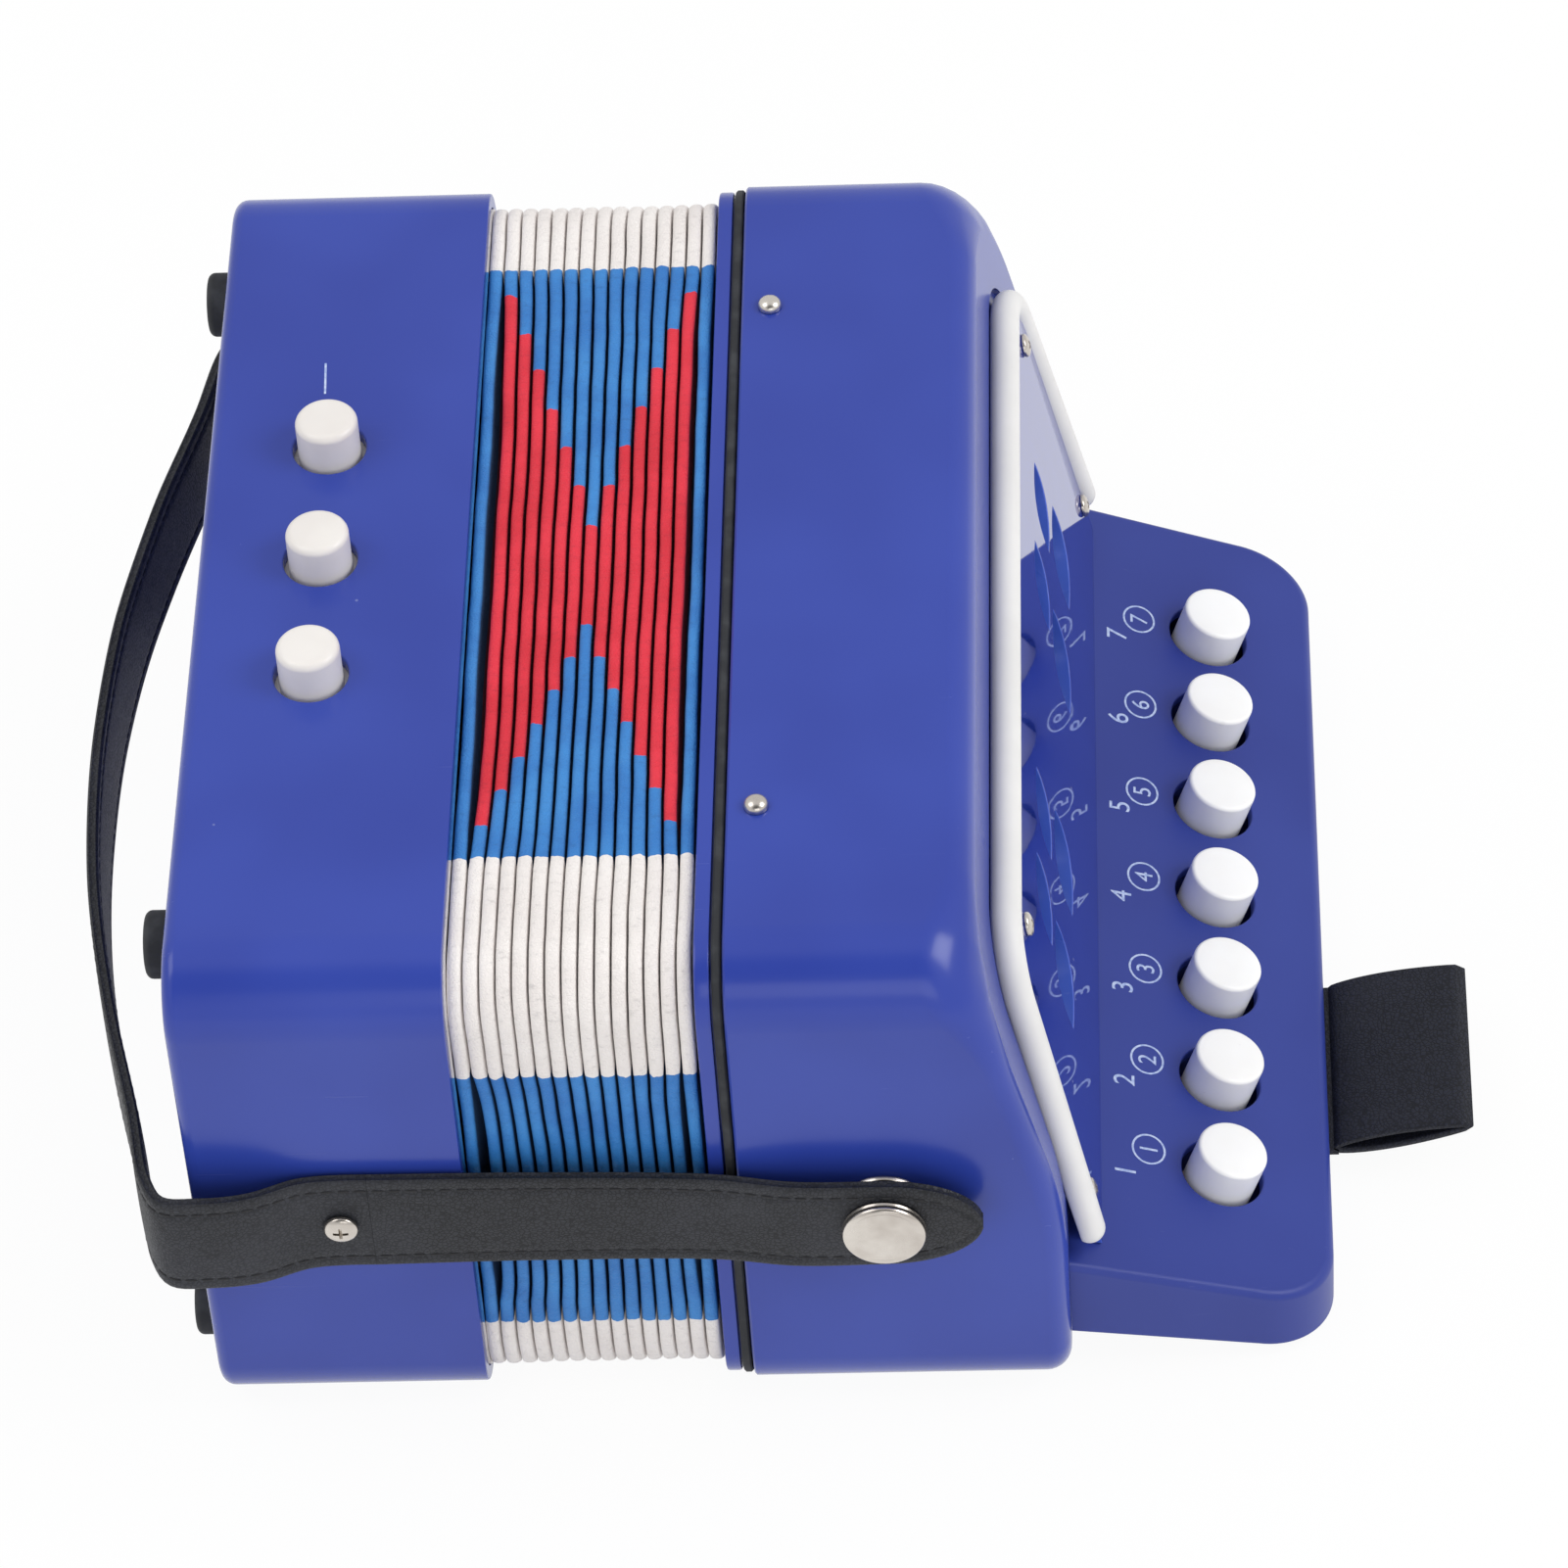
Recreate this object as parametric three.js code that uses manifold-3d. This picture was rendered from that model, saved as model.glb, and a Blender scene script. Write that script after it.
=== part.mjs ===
// A small diatonic button accordion with seven treble buttons and three bass buttons.
// It lies on its back: X runs along the bellows with the bass end at low X and the keyboard
// at high X, Z points out of the front, and Y runs along the rows of buttons.
import * as THREE from "three";
import { mergeVertices } from "three/addons/utils/BufferGeometryUtils.js";
import Module from "manifold-3d";

const wasm = await Module();
wasm.setup();

// Body, millimetres
const bodyHeight = 180;
const bodyDepth = 99;
const bodyCorner = 11.5;
const wall = 2.2;
const clearance = 0.3;
const overrun = 1;
const bassLength = 42;
const bassEndFillet = 2;
const bellowsLength = 36.6;
const framePlateThickness = 2.4;
const gasketThickness = 1.4;
const trebleLength = 36.5;

// Bellows
const foldCount = 15;
const bellowsInset = 2;
const bellowsCorner = 10.5;
const foldDepth = 10;
const foldSkin = 0.55;
const foldCrest = 1.5;
const collarReach = 5;

// Frame plate and gasket
const frameInset = 0.8;
const frameBorder = 14;
const frameCollarLength = 9.4;
const frameCollarThickness = 5;
const gasketInset = 0.5;
const gasketBorder = 1.6;

// Right side of the treble casing
const grilleTilt = 12.8;
const kneeHeight = 42;
const kneeRadius = 90;
const trebleSideRadius = 3.5;
const trebleFootRadius = 4.5;
const trebleLipRadius = 3.6;
const trebleCornerRadius = 9;
const trebleCornerFade = 12;

// Grille plate, trim tube and mesh
const plateRise = 1;
const plateThickness = 1.7;
const plateTaper = 2.1;
const windowTopShare = 0.395;
const windowLengthShare = 0.475;
const windowInset = 7.4;
const windowCorner = 7;
const slotTilt = 42;
const slotGroupShare = 0.4605;
const upperSlotShare = 0.477;
const upperSlotLength = 14.5;
const upperSlotWidth = 9;
const upperSlotSpread = 9;
const lowerSlotShare = 0.671;
const lowerSlotLength = 17;
const lowerSlotWidth = 12;
const lowerSlotSpread = 11.8;
const meshThickness = 0.8;
const trimRadius = 2.4;
const trimRise = 1.5;
const trimTop = 15;
const trimMargin = 16.6;
const trimSplay = 8.8;
const trimBend = 11;
const trimFootShare = 0.931;
const plateScrewTop = 7.6;
const plateScrewTopInset = 13.1;
const plateScrewFoot = 7.5;
const plateScrewFootInset = 5.2;

// Keyboard
const keyboardLength = 40.8;
const keyboardMargin = 6;
const keyboardTaper = 1.6;
const keyboardCorner = 12;
const keyboardWall = 2;
const deckInnerHeight = 24.86;
const deckTilt = 18;
const undersideInnerHeight = 8.9;
const undersideOuterHeight = 0.5;
const coverThickness = 1.8;
const coverPostRadius = 3;
const coverPostShare = 0.78;

// Treble buttons and key levers
const trebleButtonCount = 7;
const trebleButtonPitch = 19.6;
const trebleButtonRow = 25;
const trebleButtonDiameter = 11.3;
const trebleButtonHole = 13.4;
const trebleButtonRise = 5.9;
const trebleTravel = 2.8;
const keyPegDiameter = 3;
const keyPegRise = 1;
const leverThickness = 3;
const leverWidth = 4.5;
const leverDepth = 5.5;
const keyAxleDistance = 43;
const axleDiameter = 2.5;
const hubRadius = 3.6;
const hubWidth = 8;
const earThickness = 3;
const earMargin = 3.5;
const soundboardThickness = 3;
const palletThickness = 3.4;
const palletWidth = 14;
const palletHeight = 22;
const palletCentreHeight = 57;
const palletHoleWidth = 8;
const palletHoleHeight = 15;
const reedPlateThickness = 1.2;
const reedTongueThickness = 0.5;
const reedTongueWidth = 2.2;
const reedTongueGap = 0.45;
const reedTongueLength = 14;
const reedTongueShortening = 0.8;
const springStripThickness = 0.7;
const springFingerWidth = 3;

// Bass buttons and bass levers
const bassButtonCount = 3;
const bassButtonPitch = 24.8;
const bassButtonDistance = 19.2;
const bassButtonDiameter = 9.9;
const bassButtonHole = 11.6;
const bassButtonRise = 6.7;
const bassFlangeDiameter = 13;
const bassFlangeThickness = 1.2;
const bassStemDiameter = 4.4;
const bassAxleDistance = 5.9;
const bassAxleDrop = 13;
const bassSoundboardDistance = 9;
const bassPalletHeight = 18;

// Feet, straps and snaps
const footDiameter = 10.4;
const footLength = 5.2;
const footSpigotDiameter = 4;
const footFillet = 1;
const upperFootSetback = 20;
const lowerFootSetback = 14;
const footInset = 11;
const strapWidth = 19.8;
const strapThickness = 2.2;
const strapCentreHeight = 48.3;
const strapTipWidth = 18;
const strapBow = 20.4;
const strapBulge = 6;
const strapScrewDistance = 23;
const strapScrewHead = 5.3;
const strapScrewRise = 1.5;
const strapScrewShank = 2.6;
const strapScrewLength = 11;
const strapBossDiameter = 9;
const strapCutSetback = 4.6;
const closingTipLength = 15;
const snapDistance = 105.6;
const snapBaseDiameter = 16;
const snapBaseThickness = 0.9;
const snapStudDiameter = 3.6;
const snapStudRise = 0.5;
const snapSocketDiameter = 8;
const snapSocketThickness = 0.6;
const snapCapDiameter = 12.8;
const snapCapRise = 1.8;
const snapShankDiameter = 3;

// Pins and thumb loop
const pinSetback = 2.9;
const pinSpreadShare = 0.607;
const pinHeadDiameter = 3.8;
const pinHeadRise = 1.1;
const pinShankDiameter = 1.6;
const pinLength = 6;
const loopCentreShare = -0.339;
const loopWidth = 34;
const loopReach = 23.8;
const loopLeather = 1.3;
const loopGap = 2.2;
const loopTilt = 13;
const loopHeight = 6.2;
const loopTabLength = 4.4;
const loopKnob = 1.2;

// Round detail
const cornerSteps = 4;
const edgeSteps = 3;
const roundSides = 16;
const smallSides = 12;
const strapSteps = 56;
const closingSteps = 14;

// Places worked out from the sizes
const degree = Math.PI / 180;
const halfHeight = bodyHeight / 2;
const bellowsStart = bassLength + clearance;
const frameStart = bellowsStart + bellowsLength + clearance;
const gasketStart = frameStart + framePlateThickness + clearance;
const trebleStart = gasketStart + gasketThickness + clearance;
const trebleFront = trebleStart + trebleLength;
const collarEnd = frameStart + framePlateThickness + frameCollarLength;
const plateDepth = plateThickness - plateRise;
const pocketDepth = plateDepth + clearance;
const behindPlate = pocketDepth + wall;
const trimHalfWidth = halfHeight - trimMargin;
const windowHalfWidth = trimHalfWidth - windowInset;
const keyboardHalfWidth = halfHeight - keyboardMargin;
const loopCentre = keyboardHalfWidth * loopCentreShare;
const strapCut = strapScrewDistance + strapCutSetback;
const closingStrapEnd = snapDistance + closingTipLength;
const grilleSlope = Math.tan(grilleTilt * degree);
const trebleWallX = trebleFront + (bodyDepth - kneeHeight) * grilleSlope;
const keyboardStart = trebleWallX + clearance;
const keyboardEnd = keyboardStart + keyboardLength;
const deckSlope = Math.tan(deckTilt * degree);
const undersideSlope = (undersideInnerHeight - undersideOuterHeight) / keyboardLength;
const strapSkin = clearance + strapThickness / 2;
const strapY = halfHeight + strapSkin;
const snapStrapY = halfHeight + clearance + snapBaseThickness + snapStudRise
  + clearance + snapSocketThickness + clearance + strapThickness / 2;
const soundboardX = collarEnd + clearance;
const bassSoundboardX = bassLength - bassSoundboardDistance;
const tilted = grilleTilt * degree;
const splayed = trimSplay * degree;
const deckAngle = deckTilt * degree;
const grilleLength = (bodyDepth - deckInnerHeight) / Math.cos(tilted);
const windowTop = grilleLength * windowTopShare;
const windowEnd = windowTop + grilleLength * windowLengthShare;

// Turns a closed three.js geometry into a solid that can be cut and joined.
function solid(geometry) {
  const bare = new THREE.BufferGeometry();
  const source = geometry.index ? geometry.toNonIndexed() : geometry;
  bare.setAttribute("position", source.getAttribute("position").clone());
  const merged = mergeVertices(bare, 1e-4);
  return new wasm.Manifold(new wasm.Mesh({
    numProp: 3,
    vertProperties: merged.attributes.position.array,
    triVerts: new Uint32Array(merged.index.array),
  }));
}

// Turns a solid back into a three.js geometry.
function geometryOf(body) {
  const mesh = body.getMesh();
  const geometry = new THREE.BufferGeometry();
  const positions = new Float32Array(mesh.numVert * 3);
  for (let i = 0; i < mesh.numVert; i++) {
    positions.set(mesh.vertProperties.subarray(i * mesh.numProp, i * mesh.numProp + 3), i * 3);
  }
  geometry.setAttribute("position", new THREE.BufferAttribute(positions, 3));
  geometry.setIndex(new THREE.BufferAttribute(mesh.triVerts, 1));
  return geometry;
}

// A closed body through rings of equally many points, capped at both ends. Rings that run
// the other way round make the same body.
function loft(rings) {
  const count = rings[0].length;
  const points = rings.flat();
  const faces = [];
  for (let r = 0; r < rings.length - 1; r++) {
    for (let i = 0; i < count; i++) {
      const a = r * count + i;
      const b = r * count + (i + 1) % count;
      faces.push(a, b, b + count, a, b + count, a + count);
    }
  }
  const last = (rings.length - 1) * count;
  for (let i = 1; i < count - 1; i++) {
    faces.push(0, i + 1, i, last, last + i, last + i + 1);
  }
  return facingOut(points, faces);
}

// Joins rings whose second half mirrors the first, and closes both ends from side to side.
function bridged(rings) {
  const count = rings[0].length;
  const faces = [];
  for (let r = 0; r < rings.length - 1; r++) {
    for (let i = 0; i < count; i++) {
      const a = r * count + i;
      const b = r * count + (i + 1) % count;
      faces.push(a, b, b + count, a, b + count, a + count);
    }
  }
  const last = (rings.length - 1) * count;
  for (let i = 0; i < count / 2 - 1; i++) {
    const across = count - 1 - i;
    faces.push(i, across, i + 1, i + 1, across, across - 1);
    faces.push(last + i, last + i + 1, last + across,
      last + i + 1, last + across - 1, last + across);
  }
  return facingOut(rings.flat(), faces);
}

// Makes a solid of faces whose order may run either way round.
function facingOut(points, faces) {
  let volume = 0;
  for (let i = 0; i < faces.length; i += 3) {
    const [a, b, c] = [points[faces[i]], points[faces[i + 1]], points[faces[i + 2]]];
    volume += a.dot(b.clone().cross(c));
  }
  const geometry = new THREE.BufferGeometry().setFromPoints(points);
  geometry.setIndex(volume < 0 ? faces.reverse() : faces);
  return solid(geometry);
}

// A rounded rectangle in the plane across the bellows, drawn in from the body's outline.
function bodyRing(x, inset, corner) {
  const half = halfHeight - inset;
  const radius = Math.max(corner, clearance);
  const low = inset;
  const high = bodyDepth - inset;
  const centres = [
    [half - radius, high - radius],
    [-half + radius, high - radius],
    [-half + radius, low + radius],
    [half - radius, low + radius],
  ];
  const points = [];
  centres.forEach(([y, z], quarter) => {
    for (let step = 0; step <= cornerSteps; step++) {
      const angle = (quarter + step / cornerSteps) * Math.PI / 2;
      points.push(new THREE.Vector3(x, y + radius * Math.cos(angle), z + radius * Math.sin(angle)));
    }
  });
  return points;
}

// A length of the body's section from one X to another.
function bodyLength(start, end, inset) {
  const corner = bodyCorner - inset;
  return loft([bodyRing(start, inset, corner), bodyRing(end, inset, corner)]);
}

// An outline in X and Y raised along Z.
function raised(shape, low, high, segments = cornerSteps) {
  const geometry = new THREE.ExtrudeGeometry(shape, {
    depth: high - low, bevelEnabled: false, curveSegments: segments,
  });
  geometry.translate(0, 0, low);
  return solid(geometry);
}

// An outline in X and Z drawn along Y.
function drawnAcross(shape, low, high, segments = cornerSteps) {
  const geometry = new THREE.ExtrudeGeometry(shape, {
    depth: high - low, bevelEnabled: false, curveSegments: segments,
  });
  geometry.rotateX(Math.PI / 2);
  geometry.translate(0, high, 0);
  return solid(geometry);
}

function block(x0, x1, y0, y1, z0, z1) {
  const geometry = new THREE.BoxGeometry(x1 - x0, y1 - y0, z1 - z0);
  geometry.translate((x0 + x1) / 2, (y0 + y1) / 2, (z0 + z1) / 2);
  return solid(geometry);
}

// A turned piece: its profile is pairs of radius and height, and its axis is local Y.
function turned(profile, sides = roundSides) {
  const points = profile.map(([radius, height]) => new THREE.Vector2(radius, height));
  return new THREE.LatheGeometry(points, sides);
}

// Lays a turned piece's axis along a direction, with its height zero at a point.
function alongAxis(geometry, point, direction) {
  const turn = new THREE.Quaternion().setFromUnitVectors(
    new THREE.Vector3(0, 1, 0), direction.clone().normalize());
  return geometry.applyQuaternion(turn).translate(point.x, point.y, point.z);
}

function rod(point, direction, radius, length, sides = smallSides) {
  const profile = [[0, 0], [radius, 0], [radius, length], [0, length]];
  return solid(alongAxis(turned(profile, sides), point, direction));
}

// A straight bar with round ends between two points of an outline.
function barShape(from, to, thickness) {
  const angle = Math.atan2(to[1] - from[1], to[0] - from[0]);
  const shape = new THREE.Shape();
  const radius = thickness / 2;
  shape.absarc(to[0], to[1], radius, angle - Math.PI / 2, angle + Math.PI / 2);
  shape.absarc(from[0], from[1], radius, angle + Math.PI / 2, angle + Math.PI * 3 / 2);
  return shape;
}

function discShape(centre, radius) {
  const shape = new THREE.Shape();
  shape.absarc(centre[0], centre[1], radius, 0, Math.PI * 2);
  return shape;
}

function roundedShape(x0, x1, y0, y1, radius) {
  const shape = new THREE.Shape();
  shape.absarc(x1 - radius, y1 - radius, radius, 0, Math.PI / 2);
  shape.absarc(x0 + radius, y1 - radius, radius, Math.PI / 2, Math.PI);
  shape.absarc(x0 + radius, y0 + radius, radius, Math.PI, Math.PI * 3 / 2);
  shape.absarc(x1 - radius, y0 + radius, radius, Math.PI * 3 / 2, Math.PI * 2);
  return shape;
}

// The outline of a band of even thickness that follows a smooth centre line.
function bandShape(centreLine, thickness, steps) {
  const curve = new THREE.CatmullRomCurve3(
    centreLine.map(([x, y]) => new THREE.Vector3(x, y, 0)), false, "centripetal");
  const outer = [];
  const inner = [];
  for (let i = 0; i <= steps; i++) {
    const point = curve.getPointAt(i / steps);
    const along = curve.getTangentAt(i / steps);
    const across = new THREE.Vector2(-along.y, along.x).multiplyScalar(thickness / 2);
    outer.push(new THREE.Vector2(point.x + across.x, point.y + across.y));
    inner.unshift(new THREE.Vector2(point.x - across.x, point.y - across.y));
  }
  return new THREE.Shape([...outer, ...inner]);
}

// Frames of the two tilted faces: X runs down the face, Y across it and Z out of it.
const grilleFrame = new THREE.Matrix4().makeBasis(
  new THREE.Vector3(Math.sin(tilted), 0, -Math.cos(tilted)),
  new THREE.Vector3(0, 1, 0),
  new THREE.Vector3(Math.cos(tilted), 0, Math.sin(tilted)),
).setPosition(trebleFront, 0, bodyDepth);
const deckFrame = new THREE.Matrix4().makeBasis(
  new THREE.Vector3(Math.cos(deckAngle), 0, -Math.sin(deckAngle)),
  new THREE.Vector3(0, 1, 0),
  new THREE.Vector3(Math.sin(deckAngle), 0, Math.cos(deckAngle)),
).setPosition(keyboardStart, 0, deckInnerHeight);

const placed = (body, frame) => body.transform(frame.elements);
const onGrille = (body) => placed(body, grilleFrame);
const onDeck = (body) => placed(body, deckFrame);
const deckPoint = (along, across, out) => new THREE.Vector3(along, across, out).applyMatrix4(deckFrame);
const grillePoint = (along, across, out) => new THREE.Vector3(along, across, out).applyMatrix4(grilleFrame);
const grilleOut = new THREE.Vector3(Math.cos(tilted), 0, Math.sin(tilted));
const deckOut = new THREE.Vector3(Math.sin(deckAngle), 0, Math.cos(deckAngle));

// The key axle lies on the line of the levers, so the buttons move square to the deck.
const keyAxle = deckPoint(trebleButtonRow - keyAxleDistance, 0, -leverDepth);
const bassAxle = new THREE.Vector3(bassAxleDistance, 0, bodyDepth - bassAxleDrop);
const keyRow = (index) => (index - (trebleButtonCount - 1) / 2) * trebleButtonPitch;
const bassRow = (index) => (index - (bassButtonCount - 1) / 2) * bassButtonPitch;
const keys = Array.from({ length: trebleButtonCount }, (_, key) => key);
const basses = Array.from({ length: bassButtonCount }, (_, button) => button);
const keyRows = keys.map(keyRow);
const bassRows = basses.map(bassRow);

// Where the right end of the treble casing stands at one height: slope, knee and upright wall.
function trebleEnd(z, sideInset) {
  const kneeCentre = kneeHeight - kneeRadius * Math.tan(tilted / 2);
  const radius = kneeRadius - sideInset;
  const rise = z - kneeCentre;
  if (rise <= 0) return trebleWallX - sideInset;
  if (rise < radius * Math.sin(tilted)) {
    return trebleWallX - kneeRadius + Math.sqrt(radius * radius - rise * rise);
  }
  return trebleFront - sideInset / Math.cos(tilted) + (bodyDepth - z) * grilleSlope;
}

// The far half of the casing's outline from the top down. Each place holds its way out and
// the radius of the edge round the right end, which swells at the upper corner.
function trebleOutline(inset) {
  const corner = bodyCorner - inset;
  const half = halfHeight - inset;
  const high = bodyDepth - inset;
  const reach = bodyCorner * Math.PI / 4;
  const places = [];
  const place = (y, z, angle, radius, distance) => {
    const share = Math.min(distance / (reach + trebleCornerFade), 1);
    const swell = (1 + Math.cos(share * Math.PI)) / 2;
    const full = radius + (trebleCornerRadius - radius) * swell;
    places.push({ y, z, outY: Math.cos(angle), outZ: Math.sin(angle),
      radius: Math.max(full - inset, clearance) });
  };
  for (let step = edgeSteps; step > 0; step--) {
    const away = trebleCornerFade * step / edgeSteps;
    place(half - corner - away, high, Math.PI / 2, trebleLipRadius, reach + away);
  }
  for (let step = 0; step <= cornerSteps; step++) {
    const share = step / cornerSteps;
    const angle = (1 - share) * Math.PI / 2;
    const radius = trebleLipRadius + (trebleSideRadius - trebleLipRadius) * share;
    place(half - corner + corner * Math.cos(angle), high - corner + corner * Math.sin(angle),
      angle, radius, Math.abs(share * 2 - 1) * reach);
  }
  for (let step = 1; step <= edgeSteps; step++) {
    const away = trebleCornerFade * step / edgeSteps;
    place(half, high - corner - away, 0, trebleSideRadius, reach + away);
  }
  for (let step = edgeSteps; step >= 0; step--) {
    const rise = kneeRadius * Math.sin(step / edgeSteps * tilted);
    place(half, kneeHeight - kneeRadius * Math.tan(tilted / 2) + rise, 0, trebleSideRadius,
      bodyDepth);
  }
  for (let step = 0; step <= cornerSteps; step++) {
    const share = step / cornerSteps;
    const angle = -share * Math.PI / 2;
    const radius = trebleSideRadius + (trebleFootRadius - trebleSideRadius) * share;
    place(half - corner + corner * Math.cos(angle), inset + corner + corner * Math.sin(angle),
      angle, radius, bodyDepth);
  }
  return places;
}

// The treble casing's outer or inner form: the body's section up to a right end with round edges.
function trebleBody(inset, sideInset, start) {
  const outline = trebleOutline(inset);
  const mirrored = outline.map((place) => ({ ...place, y: -place.y, outY: -place.outY })).reverse();
  const loop = [...outline, ...mirrored];
  const rings = [loop.map(({ y, z }) => new THREE.Vector3(start, y, z))];
  for (let step = 0; step <= edgeSteps; step++) {
    const angle = step / edgeSteps * Math.PI / 2;
    rings.push(loop.map(({ y, z, outY, outZ, radius }) => {
      const drawn = radius * (1 - Math.cos(angle));
      const height = z - outZ * drawn;
      const back = radius * (1 - Math.sin(angle));
      return new THREE.Vector3(trebleEnd(height, sideInset) - back, y - outY * drawn, height);
    }));
  }
  return bridged(rings);
}

// Ears that stand on the casing floor and carry the key axle.
function keyAxleEars() {
  const places = [0, 2, 5, trebleButtonCount].map((index) => keyRow(index) - trebleButtonPitch / 2);
  return places.map((y) => {
    const shape = new THREE.Shape();
    shape.moveTo(keyAxle.x - earMargin, wall / 2);
    shape.lineTo(keyAxle.x + earMargin, wall / 2);
    shape.absarc(keyAxle.x, keyAxle.z, earMargin, 0, Math.PI);
    return drawnAcross(shape, y - earThickness / 2, y + earThickness / 2);
  });
}

// Ribs on the near and far walls that stop a sound board.
function stopRibs(x, inset) {
  const depth = wall + earThickness;
  const side = palletWidth;
  return [
    block(x, x + earThickness, -halfHeight + inset / 2, -halfHeight + depth, side, bodyDepth - side),
    block(x, x + earThickness, halfHeight - depth, halfHeight - inset / 2, side, bodyDepth - side),
  ];
}

function trebleCasing() {
  let casing = trebleBody(0, 0, trebleStart)
    .subtract(trebleBody(wall, behindPlate, trebleStart - overrun));
  keyAxleEars().forEach((ear) => { casing = casing.add(ear); });
  stopRibs(soundboardX + soundboardThickness + clearance, wall).forEach((rib) => {
    casing = casing.add(rib);
  });
  const axleBore = axleDiameter / 2 + clearance;
  const axleReach = keyRow(trebleButtonCount) - trebleButtonPitch / 2 + earThickness;
  casing = casing.subtract(rod(
    new THREE.Vector3(keyAxle.x, -axleReach, keyAxle.z), new THREE.Vector3(0, 1, 0),
    axleBore, axleReach * 2));
  const pocket = raised(trimOutline(trimRadius + clearance, bodyDepth), -pocketDepth, bodyDepth);
  casing = casing.subtract(onGrille(pocket));
  const window = raised(roundedShape(windowTop, windowEnd, -windowHalfWidth,
    windowHalfWidth, windowCorner), -behindPlate * 2, 0);
  casing = casing.subtract(onGrille(window));
  const slotHalf = keyRow(trebleButtonCount - 1) + leverWidth;
  const slotBottom = -leverDepth - leverThickness / 2 - trebleTravel / 2 - clearance * 2;
  const keySlot = block(-behindPlate * 1.5, trebleButtonRow, -slotHalf, slotHalf,
    slotBottom, -leverDepth + leverThickness / 2 + clearance * 2);
  casing = casing.subtract(onDeck(keySlot));
  for (const side of [-1, 1]) {
    pinPlaces(side).forEach(({ head, out }) => {
      const inward = out.clone().negate();
      const hole = pinShankDiameter / 2 + clearance;
      casing = casing.subtract(rod(head.clone().addScaledVector(out, overrun), inward,
        hole, wall * 2 + overrun));
      if (side < 0) {
        casing = casing.subtract(rod(head.clone().addScaledVector(out, overrun), inward,
          pinHeadDiameter / 2 + clearance, pinHeadRise + clearance + overrun, smallSides));
      }
    });
  }
  plateScrewPlaces().forEach(({ along, across }) => {
    casing = casing.subtract(rod(grillePoint(along, across, 0), grilleOut.clone().negate(),
      pinShankDiameter / 2 + clearance, behindPlate + pinLength));
  });
  return casing;
}

// Two pins hold the frame collar at the front and two at the back.
function pinPlaces(side) {
  const out = new THREE.Vector3(0, 0, side);
  const spread = halfHeight * pinSpreadShare;
  return [-spread, spread].map((y) => ({
    head: new THREE.Vector3(collarEnd - pinSetback, y, side > 0 ? bodyDepth : 0),
    out,
  }));
}

// A pin with a domed head. Its head rests on the face, or lies sunk in the back.
function casingPin({ head, out }) {
  const sunk = out.z < 0 ? pinHeadRise + clearance / 2 : -clearance / 2;
  const radius = pinHeadDiameter / 2;
  const profile = [
    [0, -pinLength], [pinShankDiameter / 2, -pinLength], [pinShankDiameter / 2, 0], [radius, 0],
    [radius, pinHeadRise * 0.35], [radius * 0.72, pinHeadRise * 0.85], [0, pinHeadRise],
  ];
  const foot = head.clone().addScaledVector(out, -sunk);
  return alongAxis(turned(profile, smallSides), foot, out);
}

function framePlate() {
  const outer = bodyLength(frameStart, frameStart + framePlateThickness, frameInset);
  const collarInset = wall + clearance;
  const collar = bodyLength(frameStart, collarEnd, collarInset);
  const opening = bodyLength(frameStart - overrun, collarEnd + overrun,
    collarInset + frameCollarThickness);
  let plate = outer.add(collar).subtract(opening);
  for (const side of [-1, 1]) {
    pinPlaces(side).forEach(({ head, out }) => {
      plate = plate.subtract(rod(head, out.clone().negate(),
        pinShankDiameter / 2 + clearance, frameBorder));
    });
  }
  return plate;
}

function gasket() {
  const end = gasketStart + gasketThickness;
  return bodyLength(gasketStart, end, gasketInset)
    .subtract(bodyLength(gasketStart - overrun, end + overrun, gasketInset + gasketBorder));
}

// The bellows: a sleeve folded fifteen times, with a collar that enters the bass casing.
function bellows() {
  const pitch = bellowsLength / foldCount;
  const valley = bellowsInset + foldDepth;
  const slant = (pitch - foldCrest) / 2;
  const outerRings = [];
  const innerRings = [];
  const ring = (x, inset) => bodyRing(x, inset, bellowsCorner + bellowsInset - inset);
  const collarInset = wall + clearance;
  outerRings.push(ring(bellowsStart - collarReach, collarInset));
  outerRings.push(ring(bellowsStart, collarInset));
  innerRings.push(ring(bellowsStart - collarReach, valley + foldSkin));
  for (let fold = 0; fold < foldCount; fold++) {
    const start = bellowsStart + fold * pitch;
    if (fold > 0) outerRings.push(ring(start, valley));
    outerRings.push(ring(start + slant, bellowsInset));
    outerRings.push(ring(start + slant + foldCrest, bellowsInset));
    innerRings.push(ring(start + slant / 2, valley + foldSkin));
    innerRings.push(ring(start + pitch / 2, bellowsInset + foldSkin * 2));
  }
  outerRings.push(ring(bellowsStart + bellowsLength, bellowsInset));
  innerRings.push(ring(bellowsStart + bellowsLength, valley + foldSkin));
  return loopedSleeve(outerRings, innerRings);
}

// A tube whose wall lies between an outer and an inner run of rings.
function loopedSleeve(outerRings, innerRings) {
  const rings = [...outerRings, ...innerRings.reverse()];
  const count = rings[0].length;
  const faces = [];
  rings.forEach((_, r) => {
    const next = (r + 1) % rings.length;
    for (let i = 0; i < count; i++) {
      const j = (i + 1) % count;
      faces.push(r * count + i, r * count + j, next * count + j);
      faces.push(r * count + i, next * count + j, next * count + i);
    }
  });
  return facingOut(rings.flat(), faces);
}

// Half the trim's width at one distance along the grille: its legs stand apart at the foot.
function trimReach(along) {
  return trimHalfWidth + (along - trimTop) * Math.tan(splayed);
}

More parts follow.
